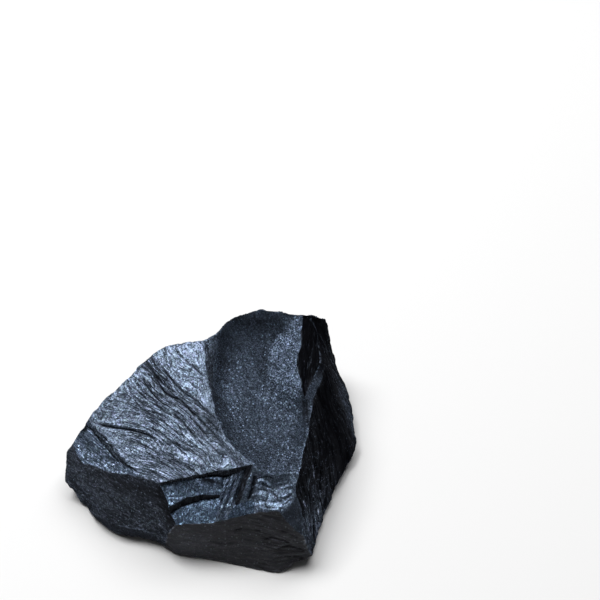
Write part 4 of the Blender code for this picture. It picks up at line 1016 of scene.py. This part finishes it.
def make_stone():
    places, triangles, owner = assemble(NET)
    names = list(FACES)
    shape = bmesh.new()
    corners = [shape.verts.new(place) for place in places]
    for triangle, number in zip(triangles, owner):
        shape.faces.new([corners[i] for i in triangle]).material_index = number
    bmesh.ops.recalc_face_normals(shape, faces=shape.faces)
    mesh = bpy.data.meshes.new("rough_stone")
    shape.to_mesh(mesh)
    shape.free()
    points = places
    tri = np.empty(len(mesh.polygons) * 3, dtype=np.int32)
    mesh.polygons.foreach_get("vertices", tri)
    tri = tri.reshape(-1, 3)
    owner = np.empty(len(mesh.polygons), dtype=np.int32)
    mesh.polygons.foreach_get("material_index", owner)

    low = np.full(len(points), 999)
    high = np.full(len(points), -1)
    for k in range(3):
        np.minimum.at(low, tri[:, k], owner)
        np.maximum.at(high, tri[:, k], owner)
    home = np.where(low == high, low, -1)
    rims = np.flatnonzero(home < 0)
    tree = KDTree(len(rims))
    for i, r in enumerate(rims):
        tree.insert(points[r], i)
    tree.balance()
    nearest = [tree.find(p)[1:] for p in points]
    gap = np.array([found[1] for found in nearest])
    arris = np.array([found[0] for found in nearest])

    # how far each arris stands out (above 0) or is a crease (below 0)
    every = KDTree(len(points))
    for i, p in enumerate(points):
        every.insert(p, i)
    every.balance()
    outward = vertex_normals(points, tri)
    stands = np.zeros(len(rims))
    for i, r in enumerate(rims):
        around = [found[1] for found in every.find_range(points[r], 1.0)]
        stands[i] = (points[r] - points[around].mean(axis=0)) @ outward[r]
    stands = np.clip(stands / 0.25, -1, 1)
    seen = sheet_of(points[rims])
    # the listed arrises are set to stand out for a painted highlight, the listed creases to sink for painted shade
    for line in PAINTED_HIGHLIGHT_ARRISES:
        close = (np.abs(along_line(seen, line)[0]) < 1.6) & (points[rims][:, 1] < 20.0)
        stands = np.where(close, 2.0, stands)
    stands = np.where((stands > 0) & (stands < 1.5), 0.45 * stands, np.minimum(stands, 1.0))
    for line in DARK_CREASES:
        stands = np.where((np.abs(along_line(seen, line)[0]) < 1.2) & (points[rims][:, 1] < 20.0), -1.0, stands)

    points = add_relief(points, vertex_normals(points, tri))
    xy = sheet_of(points)
    fade = np.clip(points[:, 2] / 0.8, 0.0, 1.0)
    hidden = np.array([name.startswith(("back", "foot")) for name in names])
    inland = hidden[low[rims]] & hidden[high[rims]]
    shore = KDTree(int((~inland).sum()))
    for i, r in enumerate(rims[~inland]):
        shore.insert(points[r], i)
    shore.balance()
    behind = np.array([shore.find(p)[2] for p in points])
    winding = fade * np.exp(-((gap / 1.7) ** 2)) * np.clip(behind / 3.5, 0, 1) * hidden[low] * hidden[np.maximum(high, 0)]
    for axis in range(3):
        sway = 0.60 * smooth_noise(points, 4.2, 231 + axis) + 0.25 * smooth_noise(points, 2.0, 235 + axis)
        points[:, axis] += winding * sway
    ragged = fade * np.exp(-((gap / 0.7) ** 2))
    for axis in range(3):
        sway = 0.17 * smooth_noise(points, 1.7, 171 + axis) + 0.06 * smooth_noise(points, 0.8, 175 + axis)
        points[:, axis] += ragged * sway
    normals = vertex_normals(points, tri)

    # per-corner surface values, painted highlight and shade among them, and grain coordinates
    grain = np.zeros((len(tri) * 3, 3))
    finish_and_painted_light = np.ones((len(tri) * 3, 4))
    glint = np.ones(len(tri) * 3)
    fibre = np.zeros(len(tri) * 3)
    for k, name in enumerate(names):
        mine = np.flatnonzero(owner == k)
        if not len(mine):
            continue
        used = tri[mine].ravel()
        slots = (mine[:, None] * 3 + np.arange(3)).ravel()
        grain[slots] = grain_frame(points[used], xy[used], name)
        fallback = FINISH_FOOT if name.startswith(("foot", "underside")) else FINISH_BEHIND
        sheen, hue, streaks, sparkle, fibres = FINISH_AND_PAINTED_LIGHT.get(name, fallback)
        sheen = sheen + 0.8 * patched(PATCHES.get(name, ()), xy[used])
        if name.startswith(("back", "foot")):
            sheen = sheen + 0.20 * smooth_noise(points[used], 7.0, 181) + 0.12 * smooth_noise(points[used], 2.8, 182)
        finish_and_painted_light[slots, 1] = 0.5 + 0.5 * hue
        # third channel: painted highlight along proud arrises and painted shade in creases
        finish_and_painted_light[slots, 2] = 0.5 + 0.5 * stands[arris[used]] * np.exp(-((gap[used] / 0.32) ** 2))
        if name == "broad_left":
            count = stream(xy[used], BROAD_GUIDES)
            streaks = 0.20 + 0.80 * np.clip((count - 8.0) / 1.2, 0, 1) * np.clip((xy[used][:, 0] - 118) / 25, 0.15, 1)
            streaks *= 1 - 0.60 * patched(CALM_TIP, xy[used])
            high = np.clip((xy[used][:, 0] - 132) / 14, 0, 1)
            sheen = sheen + 0.12 * np.clip((9.4 - count) / 0.8, 0, 1) - 0.30 * high * np.exp(-(((count - 11.6) / 2.3) ** 2))
        if name == "lumpy_front":
            # painted highlights on the dome tops and ridges, and painted shade along the creases between them
            bright = np.zeros(len(used))
            for x, y, wide, high, turn, _, gain in LUMPS:
                bright = np.maximum(bright, gain * np.clip((1.10 - oval(xy[used], x, y, wide, high, turn)) / 0.25, 0, 1))
            for line, _, width, gain in RIDGES:
                bright = np.maximum(bright, groove(xy[used], line, -gain, width))
            sheen = sheen + bright
            for line in LUMP_CREASES:
                sheen = sheen + (sheen + 0.2) * groove(xy[used], line, 0.60, 0.60)
        if name == "right_face":
            up = points[used] @ np.array((0.3, 0.45, 0.84))
            across = points[used] @ np.array((0.0, 0.88, -0.47))
            step = stepped(across / 2.2, up, 91, 10.0)
            slab = stepped(across / 6.5 + 0.3, up, 93, 14.0)
            # brighter towards the crests of the steps: painted highlight
            sheen = sheen + 0.20 * slab + 0.30 * np.clip(step, -0.2, 0.5) + 0.10 * smooth_noise(points[used], 5.0, 97)
            crest = 0.35 + 1.5 * np.clip((step - 0.12) / 0.25, 0, 1)
        if name == "smooth_front":
            streaks = np.clip((xy[used][:, 0] - 225) / 70, 0.0, 0.55)
        # the sheen is pulled towards black along these creases: painted shade
        if name in ("left_cheek", "cheek_riser", "broad_left"):
            for line, width, share in CHEEK_CREASE_SHADE:
                reach, passed = along_line(xy[used], line)
                sheen = sheen + (-0.45 - sheen) * share * np.exp(-((reach / width) ** 2)) * swell(passed, 0.06, 0.10)
        finish_and_painted_light[slots, 0] = np.clip(0.5 + sheen, 0, 3) / 3
        finish_and_painted_light[slots, 3] = streaks
        glint[slots] = sparkle + patched(GLINTS.get(name, ()), xy[used])
        fibre[slots] = fibres + patched(FIBRES.get(name, ()), xy[used])
        # the fibres are brightest on the rib crests: painted highlight
        if name == "right_face":
            fibre[slots] *= crest

    fine, broad = fine_relief(points, home, gap, behind, names)
    chips = 0.16 * np.clip(smooth_noise(points, 1.5, 35), 0, 1) + 0.14 * np.clip(smooth_noise(points, 0.7, 36), 0, 1)
    points = points + normals * ((fine + broad - np.where(home < 0, chips, 0.0)) * fade)[:, None]
    points -= (BASE_CENTRE[0], BASE_CENTRE[1], 0.0)
    mesh.vertices.foreach_set("co", (points * MM).ravel())
    mesh.polygons.foreach_set("material_index", np.zeros(len(owner), dtype=np.int32))
    mesh.polygons.foreach_set("use_smooth", np.ones(len(owner), dtype=bool))
    mesh.attributes.new("grain", "FLOAT_VECTOR", "CORNER").data.foreach_set("vector", grain.ravel())
    mesh.attributes.new("finish_and_painted_light", "FLOAT_COLOR", "CORNER").data.foreach_set("color", finish_and_painted_light.ravel())
    mesh.attributes.new("sparkle", "FLOAT", "CORNER").data.foreach_set("value", glint)
    mesh.attributes.new("fibre", "FLOAT", "CORNER").data.foreach_set("value", fibre)
    # the fine relief also drives painted shade in hollows and painted highlight on bumps in the shader
    mesh.attributes.new("relief", "FLOAT", "POINT").data.foreach_set("value", fine)
    mesh.update()
    mesh.set_sharp_from_angle(angle=math.radians(38))
    stone = bpy.data.objects.new("rough_stone", mesh)
    bpy.context.collection.objects.link(stone)
    print("stone", len(points), "vertices", len(tri), "triangles")
    return stone


# ---- surface, with painted highlight and shade ---------------------------------------------------------
def stone_finish_and_painted_light():
    """Dense blue-black stone: matte near-black where it is dull, a silky blue-grey where it is fresh,
    made of tiny grains that each glint at their own angle, and crossed by hair-fine breaks. Painted
    light is mixed into the colour: painted highlights on proud arrises, bumps, dome tops and rib crests,
    and painted shade in hollows, creases and breaks and on the shaded right faces."""
    material = bpy.data.materials.new("black_stone")
    material.use_nodes = True
    tree = material.node_tree
    nodes, links = tree.nodes, tree.links
    shader = nodes["Principled BSDF"]
    shader.inputs["Specular IOR Level"].default_value = 0.0
    shader.inputs["Specular Tint"].default_value = (0.25, 0.25, 0.25, 1)

    def attribute(name):
        node = nodes.new("ShaderNodeAttribute")
        node.attribute_name = name
        return node

    def scaled(vector, scale):
        node = nodes.new("ShaderNodeMapping")
        node.inputs["Scale"].default_value = scale
        links.new(vector, node.inputs["Vector"])
        return node.outputs["Vector"]

    def noise(vector, scale, detail, rough=0.5):
        node = nodes.new("ShaderNodeTexNoise")
        node.inputs["Scale"].default_value = scale
        node.inputs["Detail"].default_value = detail
        node.inputs["Roughness"].default_value = rough
        links.new(vector, node.inputs["Vector"])
        return node.outputs["Fac"]

    def spread(value, low, high, to_low, to_high, smooth=False):
        node = nodes.new("ShaderNodeMapRange")
        node.clamp = True
        node.interpolation_type = "SMOOTHSTEP" if smooth else "LINEAR"
        for name, number in zip(("From Min", "From Max", "To Min", "To Max"), (low, high, to_low, to_high)):
            node.inputs[name].default_value = number
        links.new(value, node.inputs["Value"])
        return node.outputs["Result"]

    def maths(kind, a, b=None):
        node = nodes.new("ShaderNodeMath")
        node.operation = kind
        for socket, value in zip(node.inputs, (a, b)):
            if value is None:
                continue
            if isinstance(value, (int, float)):
                socket.default_value = value
            else:
                links.new(value, socket)
        return node.outputs["Value"]

    def vector_maths(kind, a, b=None, scale=None):
        node = nodes.new("ShaderNodeVectorMath")
        node.operation = kind
        links.new(a, node.inputs[0])
        if isinstance(b, tuple):
            node.inputs[1].default_value = b
        elif b is not None:
            links.new(b, node.inputs[1])
        if isinstance(scale, float):
            node.inputs["Scale"].default_value = scale
        elif scale is not None:
            links.new(scale, node.inputs["Scale"])
        return node.outputs["Vector"]

    def warp(vector, scale):
        node = nodes.new("ShaderNodeTexNoise")
        node.inputs["Scale"].default_value = scale
        node.inputs["Detail"].default_value = 1.0
        links.new(vector, node.inputs["Vector"])
        return node.outputs["Color"]

    def blend(factor, a, b):
        node = nodes.new("ShaderNodeMix")
        node.data_type = "RGBA"
        for socket, value in ((node.inputs["Factor"], factor), (node.inputs["A"], a), (node.inputs["B"], b)):
            if isinstance(value, (int, float, tuple)):
                socket.default_value = value
            else:
                links.new(value, socket)
        return node.outputs["Result"]

    def cells(vector, scale):
        node = nodes.new("ShaderNodeTexVoronoi")
        node.inputs["Scale"].default_value = scale
        links.new(vector, node.inputs["Vector"])
        return node.outputs["Color"]

    def shards(vector, scale, width, breaks, threshold):
        """Long thin shards: the dark line between them, kept only here and there, and their own colour."""
        place = scaled(vector, scale)
        edge_of = nodes.new("ShaderNodeTexVoronoi")
        edge_of.feature = "DISTANCE_TO_EDGE"
        edge_of.inputs["Scale"].default_value = 1.0
        links.new(place, edge_of.inputs["Vector"])
        line = spread(edge_of.outputs["Distance"], 0.2 * width, width, 1.0, 0.0, smooth=True)
        kept = noise(scaled(vector, breaks), 1.0, 1.0)
        return maths("MULTIPLY", line, spread(kept, threshold, threshold + 0.12, 0.0, 1.0)), cells(place, 1.0)

    grain = attribute("grain").outputs["Vector"]
    finish_and_painted_light = attribute("finish_and_painted_light")
    parts = nodes.new("ShaderNodeSeparateColor")
    links.new(finish_and_painted_light.outputs["Color"], parts.inputs["Color"])
    level = maths("SUBTRACT", maths("MULTIPLY", parts.outputs["Red"], 3.0), 0.5)
    sheen = maths("MAXIMUM", level, 0.0)
    hue, edge, lined = parts.outputs["Green"], parts.outputs["Blue"], finish_and_painted_light.outputs["Alpha"]
    sparkle = attribute("sparkle").outputs["Fac"]
    relief = attribute("relief").outputs["Fac"]
    # proud arrises get a painted highlight, creases painted shade
    proud = spread(edge, 0.55, 1.0, 0.0, 1.0)
    crease = spread(edge, 0.45, 0.0, 0.0, 1.0)

    # grains: round ones and drawn-out ones, each with its own brightness and tilt, and a few bright specks
    place = nodes.new("ShaderNodeTexCoord").outputs["Object"]
    coarse, close = cells(place, 4100.0), cells(scaled(grain, (4.1, 2.9, 1.8)), 1.0)
    mixed = vector_maths("ADD", coarse, close)
    tone = nodes.new("ShaderNodeSeparateXYZ")
    links.new(mixed, tone.inputs["Vector"])
    tone = spread(tone.outputs["X"], 0.1, 1.9, 0.0, 1.0)
    tone = maths("ADD", 0.22, maths("MULTIPLY", 2.7, maths("MULTIPLY", tone, tone)))
    speck = nodes.new("ShaderNodeSeparateXYZ")
    links.new(cells(place, 3500.0), speck.inputs["Vector"])
    speck = spread(speck.outputs["Y"], 0.960, 0.985, 0.0, 1.25)
    patchy = spread(noise(grain, 0.30, 3.0, 0.6), 0.3, 0.7, -0.25, 0.2)
    patchy = maths("ADD", 1.0, maths("MULTIPLY", patchy, spread(lined, 0.15, 0.6, 0.3, 1.0)))

    # shards that run with the grain, in two sizes, with hair-fine breaks between them painted dark as shade in the
    # cracks
    bent = vector_maths("ADD", grain, vector_maths("SCALE", vector_maths("SUBTRACT", warp(grain, 0.5), (0.5, 0.5, 0.5)), scale=0.5))
    long_lines, long_tone = shards(bent, (0.62, 0.11, 0.08), 0.075, (0.55, 0.50, 0.3), 0.42)
    fine_lines, fine_tone = shards(bent, (1.5, 0.24, 0.16), 0.120, (1.1, 0.80, 0.6), 0.42)
    lines = maths("MULTIPLY", maths("MAXIMUM", long_lines, maths("MULTIPLY", fine_lines, 0.8)), lined)
    streaky = vector_maths("ADD", long_tone, fine_tone)
    streak = nodes.new("ShaderNodeSeparateXYZ")
    links.new(streaky, streak.inputs["Vector"])
    tone = maths("MULTIPLY", tone, spread(streak.outputs["X"], 0.2, 1.8, 0.78, 1.22))
    tone = maths("MAXIMUM", maths("ADD", 1.0, maths("MULTIPLY", maths("SUBTRACT", tone, 1.0), sparkle)), 0.05)

    silk_and_painted_light = maths("MULTIPLY", maths("MULTIPLY", sheen, patchy), tone)
    # painted highlight along proud arrises
    silk_and_painted_light = maths("ADD", silk_and_painted_light, maths("MULTIPLY", proud, spread(noise(grain, 1.2, 1.0), 0.44, 0.62, 0.0, 1.25)))
    # painted shade: darker in hollows of the relief, along the hair-fine breaks and in creases
    dark = maths("MULTIPLY", spread(relief, -0.32, -0.06, 0.25, 1.0), spread(lines, 0.0, 1.0, 1.0, 0.15))
    dark = maths("MULTIPLY", dark, spread(crease, 0.0, 1.0, 1.0, 0.10))
    silk_and_painted_light = maths("MULTIPLY", silk_and_painted_light, dark)
    # painted highlight: brighter on the bumps of the relief
    silk_and_painted_light = maths("MULTIPLY", silk_and_painted_light, spread(relief, 0.08, 0.55, 1.0, 1.7))
    fibres = spread(noise(scaled(grain, (1.0, 0.50, 0.6)), 2.6, 2.0, 0.6), 0.54, 0.68, 0.0, 1.0)
    silk_and_painted_light = maths("ADD", silk_and_painted_light, maths("MULTIPLY", maths("MULTIPLY", fibres, attribute("fibre").outputs["Fac"]), tone))
    salt = maths("MULTIPLY", maths("MAXIMUM", maths("SUBTRACT", tone, 1.15), 0.0), maths("MULTIPLY", sparkle, 0.14))
    silk_and_painted_light = maths("ADD", silk_and_painted_light, maths("MULTIPLY", salt, maths("MULTIPLY", dark, spread(level, -0.30, 0.20, 0.0, 1.0))))
    silk_and_painted_light = maths("ADD", silk_and_painted_light, maths("MULTIPLY", speck, maths("MULTIPLY", sparkle, spread(level, -0.40, 0.30, 0.0, 1.0))))
    dull = blend(hue, (0.0200, 0.0185, 0.0185, 1), (0.0125, 0.0165, 0.0240, 1))
    # painted shade: the dull colour is pulled towards black in that shade and where the sheen is below 0
    dim = maths("MULTIPLY", dark, spread(level, -0.5, 0.0, 0.12, 1.0))
    dull = blend(maths("SUBTRACT", 1.0, dim), dull, (0.002, 0.002, 0.003, 1))
    fresh = blend(hue, (0.122, 0.133, 0.156, 1), (0.078, 0.115, 0.174, 1))
    tint = vector_maths("ADD", vector_maths("SCALE", mixed, scale=0.10), (0.90, 0.90, 0.90))
    fresh = vector_maths("MULTIPLY", fresh, tint)
    colour = nodes.new("ShaderNodeMix")
    colour.data_type = "RGBA"
    colour.clamp_factor = False
    links.new(silk_and_painted_light, colour.inputs["Factor"])
    links.new(dull, colour.inputs["A"])
    links.new(fresh, colour.inputs["B"])
    links.new(colour.outputs["Result"], shader.inputs["Base Color"])
    links.new(maths("MINIMUM", maths("ADD", 0.04, maths("MULTIPLY", silk_and_painted_light, 0.60)), 0.75), shader.inputs["Metallic"])
    links.new(spread(noise(grain, 0.9, 3.0), 0.3, 0.7, 0.36, 0.50), shader.inputs["Roughness"])

    bump = nodes.new("ShaderNodeBump")
    bump.inputs["Strength"].default_value = 1.0
    bump.inputs["Distance"].default_value = 0.00006
    links.new(maths("SUBTRACT", noise(grain, 4.0, 1.0, 0.6), maths("MULTIPLY", lines, 1.5)), bump.inputs["Height"])
    tilt = vector_maths("SUBTRACT", mixed, (1.0, 1.0, 1.0))
    amount = maths("MULTIPLY", maths("MINIMUM", sheen, 1.0), maths("MULTIPLY", sparkle, 0.30))
    total = vector_maths("ADD", bump.outputs["Normal"], vector_maths("SCALE", tilt, scale=amount))
    lean = vector_maths("SCALE", vector_maths("SUBTRACT", streaky, (1.0, 1.0, 1.0)), scale=maths("MULTIPLY", lined, 0.08))
    total = vector_maths("ADD", total, lean)
    links.new(vector_maths("NORMALIZE", total), shader.inputs["Normal"])
    return material


def floor_finish():
    material = bpy.data.materials.new("pale_floor")
    material.use_nodes = True
    shader = material.node_tree.nodes["Principled BSDF"]
    shader.inputs["Base Color"].default_value = (0.90, 0.90, 0.90, 1)
    shader.inputs["Roughness"].default_value = 0.9
    shader.inputs["Specular IOR Level"].default_value = 0.0
    return material


def soft_light(name, toward, distance, size, power, colour=(1, 1, 1)):
    """A square soft box that shines on the stone from the given direction."""
    data = bpy.data.lights.new(name, "AREA")
    data.shape = "SQUARE"
    data.size = size
    data.energy = power
    data.color = colour
    light = bpy.data.objects.new(name, data)
    direction = Vector(toward).normalized()
    light.location = direction * distance + Vector((0, 0, 0.015))
    light.rotation_euler = direction.to_track_quat("Z", "Y").to_euler()
    bpy.context.collection.objects.link(light)
    return light


# ---- scene ---------------------------------------------------------------------------------------------
stone = make_stone()
stone.data.materials.append(stone_finish_and_painted_light())
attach(stone, "root")
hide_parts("stone")

floor_mesh = bpy.data.meshes.new("floor")
floor_mesh.from_pydata([(-4, -4, 0), (4, -4, 0), (4, 4, 0), (-4, 4, 0)], [], [(0, 1, 2, 3)])
floor = bpy.data.objects.new("floor", floor_mesh)
floor.location.z = -0.00002
bpy.context.collection.objects.link(floor)
floor.data.materials.append(floor_finish())

soft_light("key", (-0.36, 0.24, 0.90), 0.80, 0.36, 4.4)
soft_light("overhead", (0.16, 0.50, 1.0), 1.6, 1.3, 17.0)

world = bpy.data.worlds.new("studio")
world.use_nodes = True
world.node_tree.nodes["Background"].inputs["Color"].default_value = (1, 1, 1, 1)
world.node_tree.nodes["Background"].inputs["Strength"].default_value = 0.05
bpy.context.scene.world = world

lens = bpy.data.cameras.new("camera")
lens.sensor_width = 36.0
lens.lens = 36.0 * SHEET_REACH / 600.0
lens.clip_start = 0.01
camera = bpy.data.objects.new("camera", lens)
camera.location = [(STATION[0] - BASE_CENTRE[0]) * MM, (STATION[1] - BASE_CENTRE[1]) * MM, STATION[2] * MM]
camera.rotation_euler = (math.pi / 2 - STATION_TILT, 0, 0)
bpy.context.collection.objects.link(camera)
bpy.context.scene.camera = camera
bpy.context.scene.view_settings.view_transform = "Standard"
